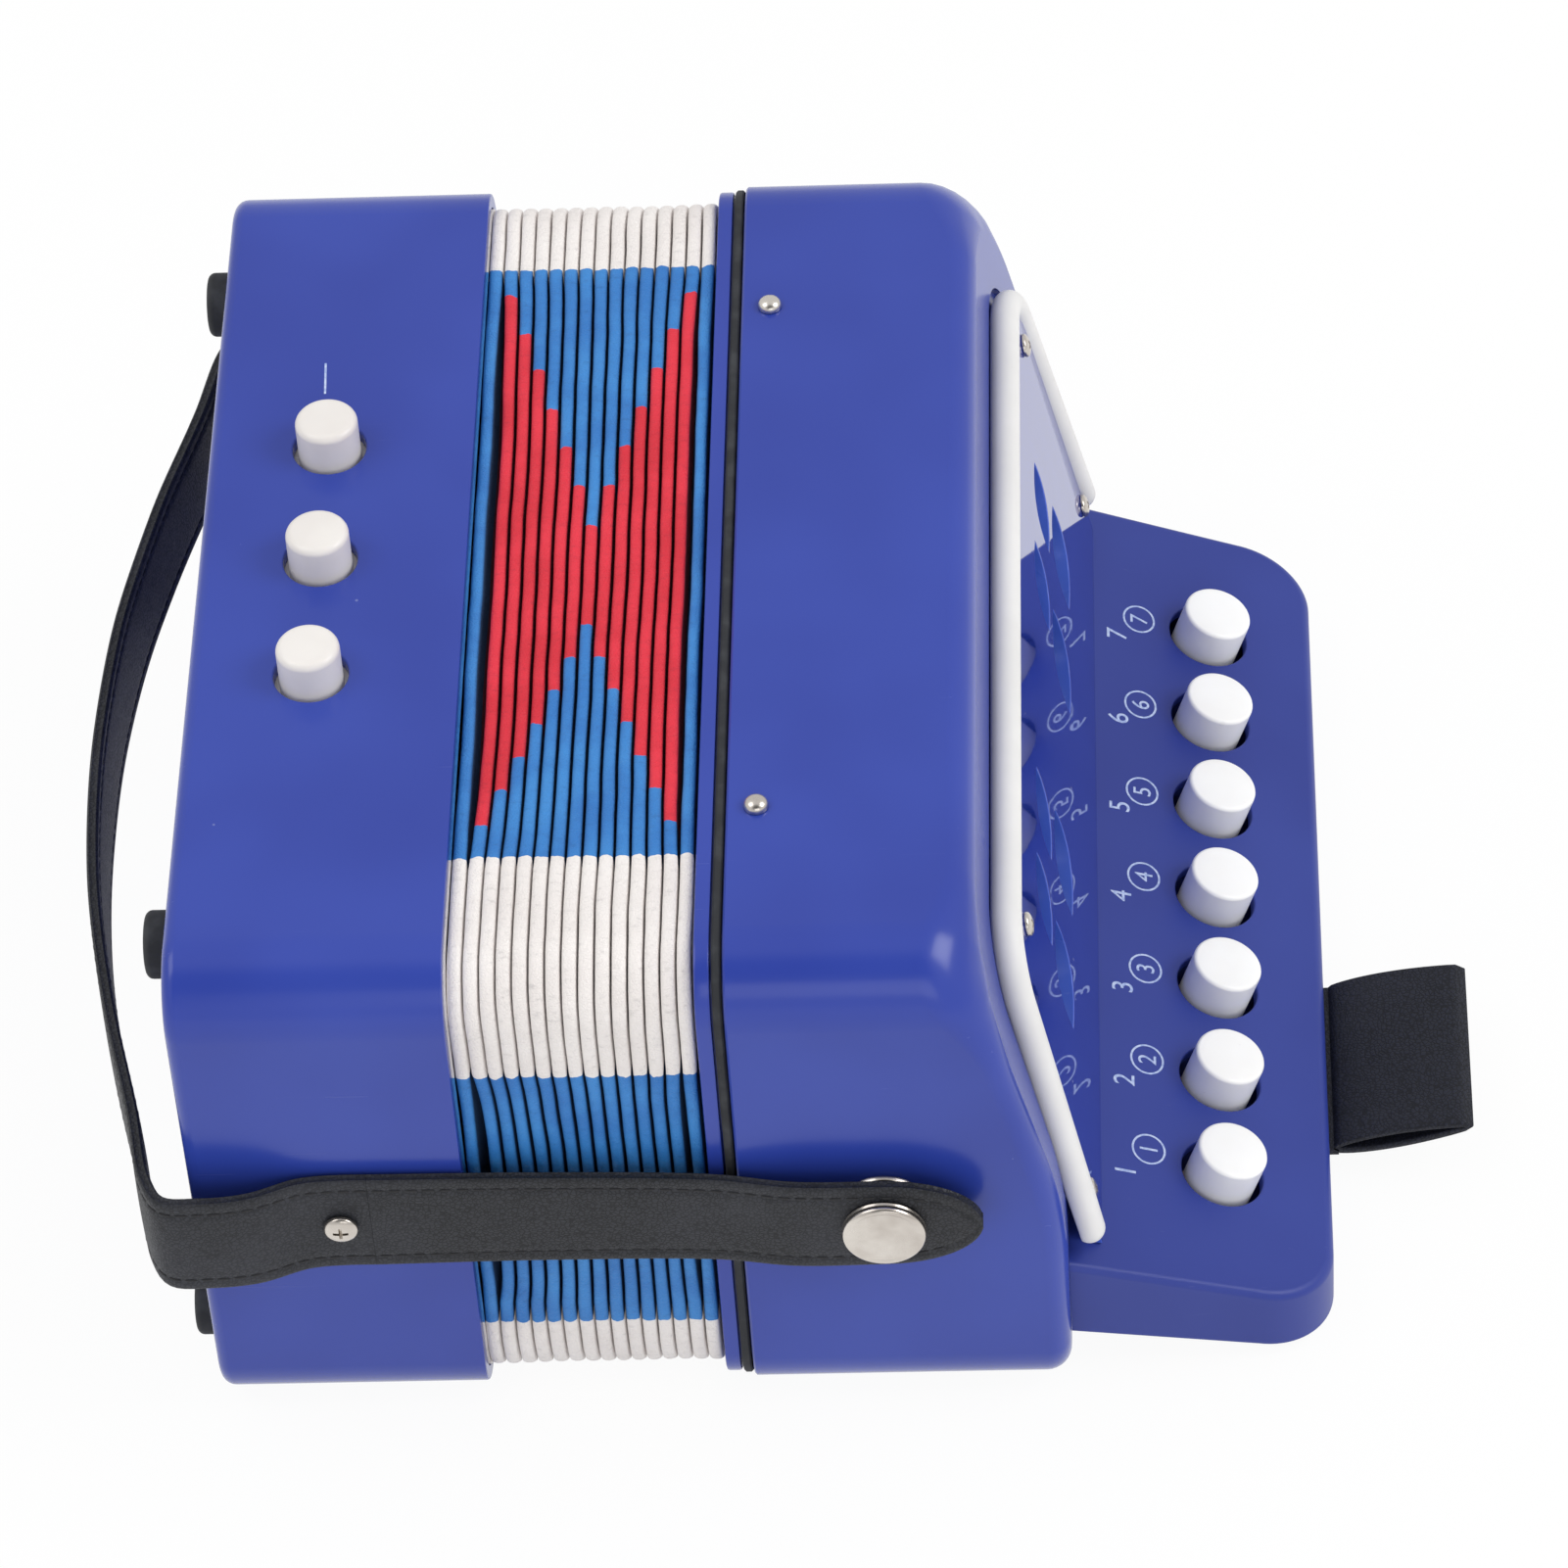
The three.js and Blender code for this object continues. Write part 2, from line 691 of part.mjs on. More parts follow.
// The outline that runs beside the trim's centre line, outside it or inside it.
function trimOutline(offset, end) {
  const straight = trimBend * Math.tan((Math.PI / 2 - splayed) / 2);
  const centre = trimHalfWidth - straight;
  const edge = trimReach(end) + offset / Math.cos(splayed);
  const radius = trimBend + offset;
  const shape = new THREE.Shape();
  shape.absarc(trimTop + trimBend, centre, radius, Math.PI / 2 + splayed, Math.PI);
  shape.absarc(trimTop + trimBend, -centre, radius, Math.PI, Math.PI * 3 / 2 - splayed);
  shape.lineTo(end, -edge);
  shape.lineTo(end, edge);
  return shape;
}

// Four screws hold the grille plate inside the trim.
function plateScrewPlaces() {
  const top = trimTop + plateScrewTop;
  const foot = grilleLength - plateScrewFoot;
  return [-1, 1].flatMap((side) => [
    { along: top, across: side * (trimHalfWidth - plateScrewTopInset) },
    { along: foot, across: side * (trimReach(foot) - plateScrewFootInset) },
  ]);
}

// A leaf shaped sound slot, drawn by two arcs that meet in points.
function leafShape(centreX, centreY, length, width, angle) {
  const half = length / 2;
  const bulge = width;
  const turn = (x, y) => [
    centreX + x * Math.cos(angle) - y * Math.sin(angle),
    centreY + x * Math.sin(angle) + y * Math.cos(angle),
  ];
  const shape = new THREE.Shape();
  shape.moveTo(...turn(-half, 0));
  shape.quadraticCurveTo(...turn(0, -bulge), ...turn(half, 0));
  shape.quadraticCurveTo(...turn(0, bulge), ...turn(-half, 0));
  return shape;
}

// Two groups of four sound slots, wider apart in the lower row.
function soundSlots() {
  const rows = [
    [grilleLength * upperSlotShare, upperSlotSpread, upperSlotLength, upperSlotWidth],
    [grilleLength * lowerSlotShare, lowerSlotSpread, lowerSlotLength, lowerSlotWidth],
  ];
  const group = trimHalfWidth * slotGroupShare;
  return [-group, group].flatMap((centre) => rows.flatMap(([along, spread, length, width]) =>
    [-spread, spread].map((offset) =>
      leafShape(along, centre + offset, length, width, -slotTilt * degree))));
}

// The plate's face rises a little from the deck towards the top of the grille.
function plateFace(along) {
  return plateRise + (grilleLength - along) * Math.tan(plateTaper * degree);
}

function grillePlate() {
  const length = bodyDepth / Math.cos(tilted);
  const high = plateFace(0);
  const blank = raised(trimOutline(-trimRadius - clearance, length), -plateDepth, high);
  const underFace = new THREE.Shape();
  underFace.moveTo(0, -bodyDepth);
  underFace.lineTo(length, -bodyDepth);
  underFace.lineTo(length, plateFace(length));
  underFace.lineTo(0, high);
  let plate = onGrille(blank.intersect(drawnAcross(underFace, -bodyHeight, bodyHeight)));
  const aboveDeck = new THREE.Shape();
  aboveDeck.moveTo(trebleFront - bodyDepth, bodyDepth * 2);
  aboveDeck.lineTo(keyboardEnd, bodyDepth * 2);
  aboveDeck.lineTo(keyboardEnd, deckInnerHeight + clearance - deckSlope * keyboardLength);
  aboveDeck.lineTo(keyboardStart - bodyDepth, deckInnerHeight + clearance + deckSlope * bodyDepth);
  plate = plate.intersect(drawnAcross(aboveDeck, -bodyHeight, bodyHeight));
  soundSlots().forEach((shape) => {
    plate = plate.subtract(onGrille(raised(shape, -plateDepth - overrun, high + overrun)));
  });
  plateScrewPlaces().forEach(({ along, across }) => {
    plate = plate.subtract(rod(grillePoint(along, across, high + overrun),
      grilleOut.clone().negate(), pinShankDiameter / 2 + clearance,
      high + plateDepth + overrun * 2));
  });
  return plate;
}

// The silver mesh behind the slots lies in the window of the casing.
function grilleMesh() {
  const top = -plateDepth - clearance / 2;
  const low = windowTop + clearance;
  return onGrille(raised(roundedShape(low, windowEnd - clearance,
    -windowHalfWidth + clearance, windowHalfWidth - clearance, windowCorner - clearance),
  top - meshThickness, top));
}

// The white tube bent round three sides of the grille, flat where it lies in the casing.
function grilleTrim() {
  const foot = grilleLength * trimFootShare;
  const centre = trimHalfWidth - trimBend * Math.tan((Math.PI / 2 - splayed) / 2);
  const rings = [];
  const ring = (x, y, heading, radius) => {
    const points = [];
    for (let side = 0; side < smallSides; side++) {
      const angle = side / smallSides * Math.PI * 2;
      const across = radius * Math.cos(angle);
      points.push(new THREE.Vector3(x - across * Math.sin(heading), y + across * Math.cos(heading),
        trimRise + radius * Math.sin(angle)));
    }
    rings.push(points);
  };
  const end = (side, turn) => {
    const angle = turn * Math.PI / 2 / edgeSteps;
    const along = foot + trimRadius * Math.sin(angle) * Math.cos(splayed);
    ring(along, side * trimReach(along), side < 0 ? Math.PI - splayed : splayed,
      trimRadius * Math.cos(angle));
  };
  for (let step = edgeSteps - 1; step >= 0; step--) end(-1, step);
  for (let step = 0; step <= cornerSteps; step++) {
    const angle = splayed + step / cornerSteps * (Math.PI / 2 - splayed);
    ring(trimTop + trimBend - trimBend * Math.sin(angle),
      -centre - trimBend * Math.cos(angle), Math.PI - angle, trimRadius);
  }
  for (let step = 0; step <= cornerSteps; step++) {
    const angle = step / cornerSteps * (Math.PI / 2 - splayed);
    ring(trimTop + trimBend - trimBend * Math.cos(angle),
      centre + trimBend * Math.sin(angle), Math.PI / 2 - angle, trimRadius);
  }
  for (let step = 0; step < edgeSteps; step++) end(1, step);
  return onGrille(loft(rings).intersect(
    block(0, bodyDepth * 2, -bodyHeight, bodyHeight, -plateDepth, trimRadius * 4)));
}

// A pan head screw with a cross recess, as a turned piece cut by two bars.
function crossScrew(point, out, headDiameter, headRise, shankDiameter, length, side = smallSides) {
  const radius = headDiameter / 2;
  const profile = [
    [0, -length], [shankDiameter / 2, -length], [shankDiameter / 2, 0], [radius, 0],
    [radius, headRise * 0.4], [radius * 0.7, headRise * 0.9], [0, headRise],
  ];
  let screw = solid(turned(profile, side));
  const arm = headDiameter * 0.28;
  const slot = headDiameter * 0.06;
  const floor = headRise * 0.45;
  screw = screw.subtract(block(-arm, arm, floor, headRise * 2, -slot, slot));
  screw = screw.subtract(block(-slot, slot, floor, headRise * 2, -arm, arm));
  const turn = new THREE.Quaternion().setFromUnitVectors(new THREE.Vector3(0, 1, 0), out);
  const frame = new THREE.Matrix4().makeRotationFromQuaternion(turn)
    .setPosition(point.x, point.y, point.z);
  return placed(screw, frame);
}

function grilleScrew({ along, across }) {
  const seat = grillePoint(along, across, plateFace(along) + clearance / 2);
  return crossScrew(seat, grilleOut, pinHeadDiameter, pinHeadRise, pinShankDiameter,
    pinLength);
}

// Keyboard housing: a tilted box with rounded outer corners, open towards the body.
function keyboardPlan(inset) {
  const inner = keyboardHalfWidth - inset;
  const outer = keyboardHalfWidth - keyboardTaper - inset;
  const radius = keyboardCorner - inset;
  const end = keyboardEnd - inset;
  const shape = new THREE.Shape();
  const start = keyboardStart - (inset ? overrun : 0);
  shape.moveTo(start, -inner);
  shape.lineTo(end - radius, -outer);
  shape.absarc(end - radius, -outer + radius, radius, -Math.PI / 2, 0);
  shape.absarc(end - radius, outer - radius, radius, 0, Math.PI / 2);
  shape.lineTo(start, inner);
  return raised(shape, -bodyDepth, bodyDepth);
}

// The wedge between two heights over the underside and under the deck.
function keyboardWedge(aboveUnderside, belowDeck) {
  const before = keyboardStart - keyboardLength;
  const after = keyboardEnd + keyboardLength;
  const deckAt = (x) => deckInnerHeight - (x - keyboardStart) * deckSlope
    - belowDeck / Math.cos(deckAngle);
  const undersideAt = (x) => undersideInnerHeight - (x - keyboardStart) * undersideSlope
    + aboveUnderside;
  const shape = new THREE.Shape();
  shape.moveTo(before, undersideAt(before));
  shape.lineTo(after, undersideAt(after));
  shape.lineTo(after, deckAt(after));
  shape.lineTo(before, deckAt(before));
  return drawnAcross(shape, -bodyHeight, bodyHeight);
}

function loopSlot(extra) {
  const half = loopWidth / 2 + extra;
  const tab = loopLeather + extra;
  return block(keyboardEnd - keyboardWall - overrun, keyboardEnd + overrun,
    loopCentre - half, loopCentre + half, loopHeight - tab, loopHeight + tab);
}

function keyboardHousing() {
  const cavity = keyboardPlan(keyboardWall).intersect(keyboardWedge(-bodyDepth, keyboardWall));
  let housing = keyboardPlan(0).intersect(keyboardWedge(0, 0)).subtract(cavity);
  const postFoot = keyboardWedge(coverThickness + clearance, keyboardWall / 2);
  const postSpread = keyRow(trebleButtonCount - 1) + trebleButtonPitch * coverPostShare;
  for (const across of [-postSpread, postSpread]) {
    for (const distance of [keyboardCorner, keyboardLength - keyboardCorner]) {
      const post = raised(discShape([keyboardStart + distance, across], coverPostRadius),
        -bodyDepth, bodyDepth);
      housing = housing.add(post.intersect(postFoot));
    }
  }
  for (let key = 0; key < trebleButtonCount; key++) {
    housing = housing.subtract(onDeck(raised(
      discShape([trebleButtonRow, keyRow(key)], trebleButtonHole / 2),
      -keyboardWall * 2, keyboardWall)));
  }
  return housing.subtract(loopSlot(clearance));
}

function keyboardCover() {
  return keyboardPlan(keyboardWall + clearance)
    .intersect(keyboardWedge(0, keyboardWall))
    .subtract(keyboardWedge(coverThickness, -bodyDepth))
    .intersect(block(keyboardStart, keyboardEnd, -bodyHeight, bodyHeight, -bodyDepth, bodyDepth));
}

function trebleButton(index) {
  const radius = trebleButtonDiameter / 2;
  const bottom = -leverDepth + leverThickness / 2 + clearance;
  const bore = keyPegDiameter / 2 + clearance;
  const boreTop = keyPegRise + clearance;
  const top = trebleButtonRise;
  const profile = [
    [0, boreTop], [bore, boreTop], [bore, bottom], [radius, bottom], [radius, top * 0.72],
    [radius * 0.95, top * 0.88], [radius * 0.8, top * 0.97], [0, top],
  ];
  return alongAxis(turned(profile), deckPoint(trebleButtonRow, keyRow(index), 0), deckOut);
}

// A key lever: arm to the button, hub on the axle and arm up to the pallet.
function keyLever(index) {
  const y = keyRow(index);
  const halfWidth = leverWidth / 2;
  const hub = [keyAxle.x, keyAxle.z];
  const buttonEnd = deckPoint(trebleButtonRow, 0, -leverDepth);
  const palletFace = soundboardX + soundboardThickness + clearance;
  const palletTop = [palletFace + palletThickness / 2, palletCentreHeight];
  const arm = drawnAcross(barShape(hub, [buttonEnd.x, buttonEnd.z], leverThickness),
    y - halfWidth, y + halfWidth, 3);
  const upright = drawnAcross(barShape(hub, palletTop, leverThickness),
    y - halfWidth, y + halfWidth, 3);
  const hubBody = drawnAcross(discShape(hub, hubRadius), y - hubWidth / 2, y + hubWidth / 2, 8);
  const pallet = block(palletFace, palletFace + palletThickness, y - palletWidth / 2,
    y + palletWidth / 2, palletCentreHeight - palletHeight / 2,
    palletCentreHeight + palletHeight / 2);
  const pad = onDeck(raised(discShape([trebleButtonRow, y], trebleButtonDiameter / 2 - clearance),
    -leverDepth - leverThickness / 2, -leverDepth + leverThickness / 2));
  const peg = rod(deckPoint(trebleButtonRow, y, -leverDepth), deckOut, keyPegDiameter / 2,
    leverDepth + keyPegRise, 8);
  const bore = rod(new THREE.Vector3(keyAxle.x, y - hubWidth, keyAxle.z),
    new THREE.Vector3(0, 1, 0), axleDiameter / 2 + clearance, hubWidth * 2, 8);
  return arm.add(upright).add(hubBody).add(pallet).add(pad).add(peg).subtract(bore);
}

function keyAxleRod() {
  const reach = keyRow(trebleButtonCount) - trebleButtonPitch / 2 + earThickness / 2;
  return rod(new THREE.Vector3(keyAxle.x, -reach, keyAxle.z), new THREE.Vector3(0, 1, 0),
    axleDiameter / 2, reach * 2);
}

// A sheet metal strip with one finger for each lever, from the middle of the strip.
function springComb(rows, from, to, touch) {
  const first = rows[0] - springFingerWidth * 2;
  const last = rows[rows.length - 1] + springFingerWidth * 2;
  let comb = drawnAcross(barShape(from, to, springStripThickness), first, last, 1);
  const foot = [(from[0] + to[0]) / 2, (from[1] + to[1]) / 2];
  rows.forEach((y) => {
    const finger = drawnAcross(barShape(foot, touch, springStripThickness),
      y - springFingerWidth / 2, y + springFingerWidth / 2, 1);
    comb = comb.add(finger);
  });
  return comb;
}

// The strip lies on the floor beside the ears, and the fingers end just under the arms.
function keySpringComb() {
  const under = leverThickness / 2 + clearance + springStripThickness / 2;
  const touch = deckPoint(trebleButtonRow - keyAxleDistance * 0.88, 0, -leverDepth - under);
  const floor = wall + clearance + springStripThickness / 2;
  const near = keyAxle.x + earMargin + springFingerWidth / 2;
  return springComb(keyRows, [near, floor], [near + springFingerWidth, floor],
    [touch.x, touch.z]);
}

// A sound board with one hole under each pallet.
function soundboard(x, rows) {
  const inset = wall + clearance;
  let board = bodyLength(x, x + soundboardThickness, inset);
  rows.forEach((y) => {
    board = board.subtract(block(x - overrun, x + soundboardThickness + overrun,
      y - palletHoleWidth / 2, y + palletHoleWidth / 2,
      palletCentreHeight - palletHoleHeight / 2, palletCentreHeight + palletHoleHeight / 2));
  });
  return board;
}

// A brass plate with two reeds for each pallet, each tongue fixed at one end over its slot.
function reedPlate(x, rows, side) {
  const margin = palletHoleWidth;
  const low = Math.min(...rows) - margin;
  const high = Math.max(...rows) + margin;
  const near = side > 0 ? x : x - reedPlateThickness;
  let plate = block(near, near + reedPlateThickness, low, high,
    palletCentreHeight - palletHoleHeight, palletCentreHeight + palletHoleHeight);
  const outer = side > 0 ? near + reedPlateThickness : near;
  rows.forEach((y, order) => {
    for (const lane of [-1, 1]) {
      const centre = y + lane * reedTongueWidth;
      const length = reedTongueLength - order * reedTongueShortening;
      const foot = palletCentreHeight - length / 2;
      const halfSlot = reedTongueWidth / 2 + reedTongueGap;
      plate = plate.subtract(block(near - overrun, near + reedPlateThickness + overrun,
        centre - halfSlot + reedTongueGap / 2, centre + halfSlot - reedTongueGap / 2,
        foot, foot + length));
      const tongue = block(outer - reedTongueThickness, outer + reedTongueThickness,
        centre - reedTongueWidth / 2, centre + reedTongueWidth / 2 - reedTongueGap,
        foot - reedTongueWidth, foot + length - reedTongueGap);
      plate = plate.add(tongue);
    }
  });
  return plate;
}

function bassCasing() {
  const shell = [];
  const fillet = bassEndFillet;
  const steps = 3;
  for (let step = 0; step <= steps; step++) {
    const angle = step / steps * Math.PI / 2;
    const inset = fillet * (1 - Math.sin(angle));
    shell.push(bodyRing(fillet * (1 - Math.cos(angle)), inset, bodyCorner - inset));
  }
  shell.push(bodyRing(bassLength, 0, bodyCorner));
  let casing = loft(shell).subtract(bodyLength(wall, bassLength + overrun, wall));
  bassAxleEars().forEach((ear) => { casing = casing.add(ear); });
  stopRibs(bassSoundboardX - clearance - earThickness, wall).forEach((rib) => {
    casing = casing.add(rib);
  });
  const across = new THREE.Vector3(0, 1, 0);
  const reach = bassRow(bassButtonCount);
  casing = casing.subtract(rod(new THREE.Vector3(bassAxle.x, -reach, bassAxle.z), across,
    axleDiameter / 2 + clearance, reach * 2));
  for (const side of [-1, 1]) {
    const out = new THREE.Vector3(0, side, 0);
    const boss = new THREE.Vector3(strapScrewDistance, side * (halfHeight - wall / 2),
      strapCentreHeight);
    casing = casing.add(rod(boss, out.clone().negate(), strapBossDiameter / 2, strapScrewLength));
    casing = casing.subtract(rod(boss.clone().addScaledVector(out, wall), out.clone().negate(),
      strapScrewShank / 2 + clearance, strapScrewLength * 2));
  }
  for (let button = 0; button < bassButtonCount; button++) {
    casing = casing.subtract(raised(discShape([bassButtonDistance, bassRow(button)],
      bassButtonHole / 2), bodyDepth - wall - overrun, bodyDepth + overrun));
  }
  footPlaces().forEach(({ y, z }) => {
    casing = casing.subtract(rod(new THREE.Vector3(-overrun, y, z), new THREE.Vector3(1, 0, 0),
      footSpigotDiameter / 2 + clearance, wall + overrun * 2));
  });
  return casing;
}

function bassAxleEars() {
  const reach = bassRow(bassButtonCount - 1) + hubWidth / 2 + earThickness;
  return [-reach, reach].map((y) => {
    const shape = new THREE.Shape();
    shape.moveTo(wall / 2, bassAxle.z - earMargin);
    shape.lineTo(bassAxle.x, bassAxle.z - earMargin);
    shape.absarc(bassAxle.x, bassAxle.z, earMargin, -Math.PI / 2, 0);
    shape.lineTo(bassAxle.x + earMargin, bodyDepth - wall / 2);
    shape.lineTo(wall / 2, bodyDepth - wall / 2);
    return drawnAcross(shape, y - earThickness / 2, y + earThickness / 2);
  });
}

function bassAxleRod() {
  const reach = bassRow(bassButtonCount - 1) + hubWidth / 2 + earThickness * 1.5;
  return rod(new THREE.Vector3(bassAxle.x, -reach, bassAxle.z), new THREE.Vector3(0, 1, 0),
    axleDiameter / 2, reach * 2);
}

// A bass button: cap through the hole, flange under the face and stem down to its lever.
function bassButton(index) {
  const radius = bassButtonDiameter / 2;
  const flangeTop = bodyDepth - wall - clearance;
  const leverTop = bassAxle.z + leverThickness / 2;
  const tip = leverTop + clearance;
  const stem = bassStemDiameter / 2;
  const top = bodyDepth + bassButtonRise;
  const dome = bassButtonRise * 0.3;
  const profile = [
    [0, tip], [stem * 0.6, tip + stem * 0.25], [stem, tip + stem], [stem, flangeTop - bassFlangeThickness],
    [bassFlangeDiameter / 2, flangeTop - bassFlangeThickness], [bassFlangeDiameter / 2, flangeTop],
    [radius, flangeTop], [radius, top - dome], [radius * 0.93, top - dome * 0.4],
    [radius * 0.75, top - dome * 0.1], [0, top],
  ];
  const place = new THREE.Vector3(bassButtonDistance, bassRow(index), 0);
  return alongAxis(turned(profile), place, new THREE.Vector3(0, 0, 1));
}

function bassLever(index) {
  const y = bassRow(index);
  const hub = [bassAxle.x, bassAxle.z];
  const half = leverWidth / 2;
  const palletFace = bassSoundboardX - clearance;
  const palletTop = [palletFace - palletThickness / 2, palletCentreHeight];
  const arm = drawnAcross(barShape(hub, [bassButtonDistance + bassStemDiameter / 2, bassAxle.z],
    leverThickness), y - half, y + half, 3);
  const diagonal = drawnAcross(barShape(hub, palletTop, leverThickness), y - half, y + half, 3);
  const hubBody = drawnAcross(discShape(hub, hubRadius - clearance), y - hubWidth / 2,
    y + hubWidth / 2, 8);
  const pallet = block(palletFace - palletThickness, palletFace, y - palletWidth / 2,
    y + palletWidth / 2, palletCentreHeight - bassPalletHeight / 2,
    palletCentreHeight + bassPalletHeight / 2);
  const bore = rod(new THREE.Vector3(bassAxle.x, y - hubWidth, bassAxle.z),
    new THREE.Vector3(0, 1, 0), axleDiameter / 2 + clearance, hubWidth * 2, 8);
  return arm.add(diagonal).add(hubBody).add(pallet).subtract(bore);
}

// The bass fingers stand on the end wall and end a clearance short of the slanting arms.
function bassSpringComb() {
  const palletX = bassSoundboardX - clearance - palletThickness / 2;
  const run = new THREE.Vector2(palletX - bassAxle.x, palletCentreHeight - bassAxle.z);
  const away = leverThickness / 2 + clearance + springStripThickness / 2;
  const direction = run.clone().normalize();
  const touch = new THREE.Vector2(bassAxle.x, bassAxle.z).addScaledVector(run, 0.35)
    .addScaledVector(new THREE.Vector2(direction.y, -direction.x), away);
  const face = wall + clearance + springStripThickness / 2;
  const high = touch.y - hubWidth;
  return springComb(bassRows, [face, high - hubWidth], [face, high], [touch.x, touch.y]);
}

function footPlaces() {
  const upper = halfHeight - upperFootSetback;
  const lower = halfHeight - lowerFootSetback;
  return [
    { y: -upper, z: bodyDepth - footInset },
    { y: upper, z: bodyDepth - footInset },
    { y: -lower, z: footInset },
    { y: lower, z: footInset },
  ];
}

// A rubber foot with a spigot through the end wall.
function foot({ y, z }) {
  const radius = footDiameter / 2;
  const spigot = footSpigotDiameter / 2;
  const profile = [
    [0, -wall], [spigot, -wall], [spigot, clearance], [radius, clearance],
    [radius, footLength - footFillet], [radius - footFillet * 0.3, footLength - footFillet * 0.3],
    [radius - footFillet, footLength], [0, footLength],
  ];
  return alongAxis(turned(profile), new THREE.Vector3(0, y, z), new THREE.Vector3(-1, 0, 0));
}

// The centre line of half the hand strap, as shares of its bow and of the half height.
const strapLineShares = [
  [-1, 0], [-0.93, 0.3], [-0.72, 0.58], [-0.45, 0.83], [-0.3, 0.985],
];

function handStrapLine() {
  const bowed = strapLineShares.map(([x, y]) => [x * strapBow, y * (halfHeight + strapThickness)]);
  const side = halfHeight + strapSkin;
  const turn = [
    [-strapBow * 0.17, side + strapBulge * 0.6],
    [strapScrewDistance * 0.1, side + strapBulge * 0.68],
    [strapScrewDistance * 0.42, side + strapBulge * 0.55],
    [strapScrewDistance * 0.75, side + strapBulge * 0.09],
    [strapScrewDistance, side],
    [strapCut - clearance, side],
  ];
  const far = [...bowed, ...turn];
  const near = far.slice(1).reverse().map(([x, y]) => [x, -y]);
  return [...near, ...far];
}

function handStrap() {
  const low = strapCentreHeight - strapWidth / 2;
  const high = strapCentreHeight + strapWidth / 2;
  let strap = raised(bandShape(handStrapLine(), strapThickness, strapSteps), low, high);
  strap = strap.intersect(block(-bodyHeight, strapCut - clearance, -bodyHeight, bodyHeight, 0,
    bodyDepth));
  for (const side of [-1, 1]) {
    strap = strap.subtract(rod(new THREE.Vector3(strapScrewDistance, 0, strapCentreHeight),
      new THREE.Vector3(0, side, 0), strapScrewShank / 2 + clearance, bodyHeight));
  }
  return strap;
}

function strapScrew() {
  const out = new THREE.Vector3(0, -1, 0);
  const seat = new THREE.Vector3(strapScrewDistance,
    -halfHeight - clearance * 2 - strapThickness, strapCentreHeight);
  return crossScrew(seat, out, strapScrewHead, strapScrewRise, strapScrewShank,
    strapScrewLength);
}

// A closing strap: it leaves the bass casing flat and rises over the snap base.
function closingStrap() {
  const rise = snapStrapY - strapY;
  const run = snapDistance - strapCut;
  const line = [
    [strapCut + clearance / 2, -strapY],
    [strapCut + run * 0.35, -strapY],
    [strapCut + run * 0.72, -strapY - rise * 0.85],
    [snapDistance, -snapStrapY],
    [closingStrapEnd, -snapStrapY],
  ];
  const low = strapCentreHeight - strapWidth / 2;
  const high = strapCentreHeight + strapWidth / 2;
  const band = raised(bandShape(line, strapThickness, closingSteps), low, high);
  const outline = new THREE.Shape();
  const tip = strapTipWidth / 2;
  outline.moveTo(strapCut + clearance / 2, low);
  outline.lineTo(snapDistance, strapCentreHeight - tip);
  outline.absellipse(snapDistance, strapCentreHeight, closingStrapEnd - snapDistance, tip,
    -Math.PI / 2, Math.PI / 2);
  outline.lineTo(strapCut + clearance / 2, high);
  const tongue = drawnAcross(outline, -bodyHeight, 0, 10);
  const hole = rod(new THREE.Vector3(snapDistance, 0, strapCentreHeight),
    new THREE.Vector3(0, -1, 0), snapShankDiameter / 2 + clearance, bodyHeight);
  return band.intersect(tongue).subtract(hole);
}

// The snap cap: domed rim outside, shank through the strap and socket ring inside.
function snapCap() {
  const skin = strapThickness / 2 + clearance;
  const radius = snapCapDiameter / 2;
  const socket = snapSocketDiameter / 2;
  const shank = snapShankDiameter / 2;
  const profile = [
    [0, -skin - snapSocketThickness], [socket, -skin - snapSocketThickness], [socket, -skin],
    [shank, -skin], [shank, skin], [radius, skin], [radius, skin + snapCapRise * 0.45],
    [radius * 0.93, skin + snapCapRise * 0.85], [radius * 0.84, skin + snapCapRise],
    [radius * 0.76, skin + snapCapRise * 0.8], [0, skin + snapCapRise * 0.9],
  ];
  return alongAxis(turned(profile), new THREE.Vector3(snapDistance, -snapStrapY,
    strapCentreHeight), new THREE.Vector3(0, -1, 0));
}

function snapBase() {
  const radius = snapBaseDiameter / 2;
  const stud = snapStudDiameter / 2;
  const profile = [
    [0, clearance], [radius, clearance], [radius, clearance + snapBaseThickness * 0.5],
    [radius * 0.9, clearance + snapBaseThickness], [stud, clearance + snapBaseThickness],
    [stud, clearance + snapBaseThickness + snapStudRise],
    [0, clearance + snapBaseThickness + snapStudRise],
  ];
  return alongAxis(turned(profile), new THREE.Vector3(snapDistance, -halfHeight,
    strapCentreHeight), new THREE.Vector3(0, -1, 0));
}

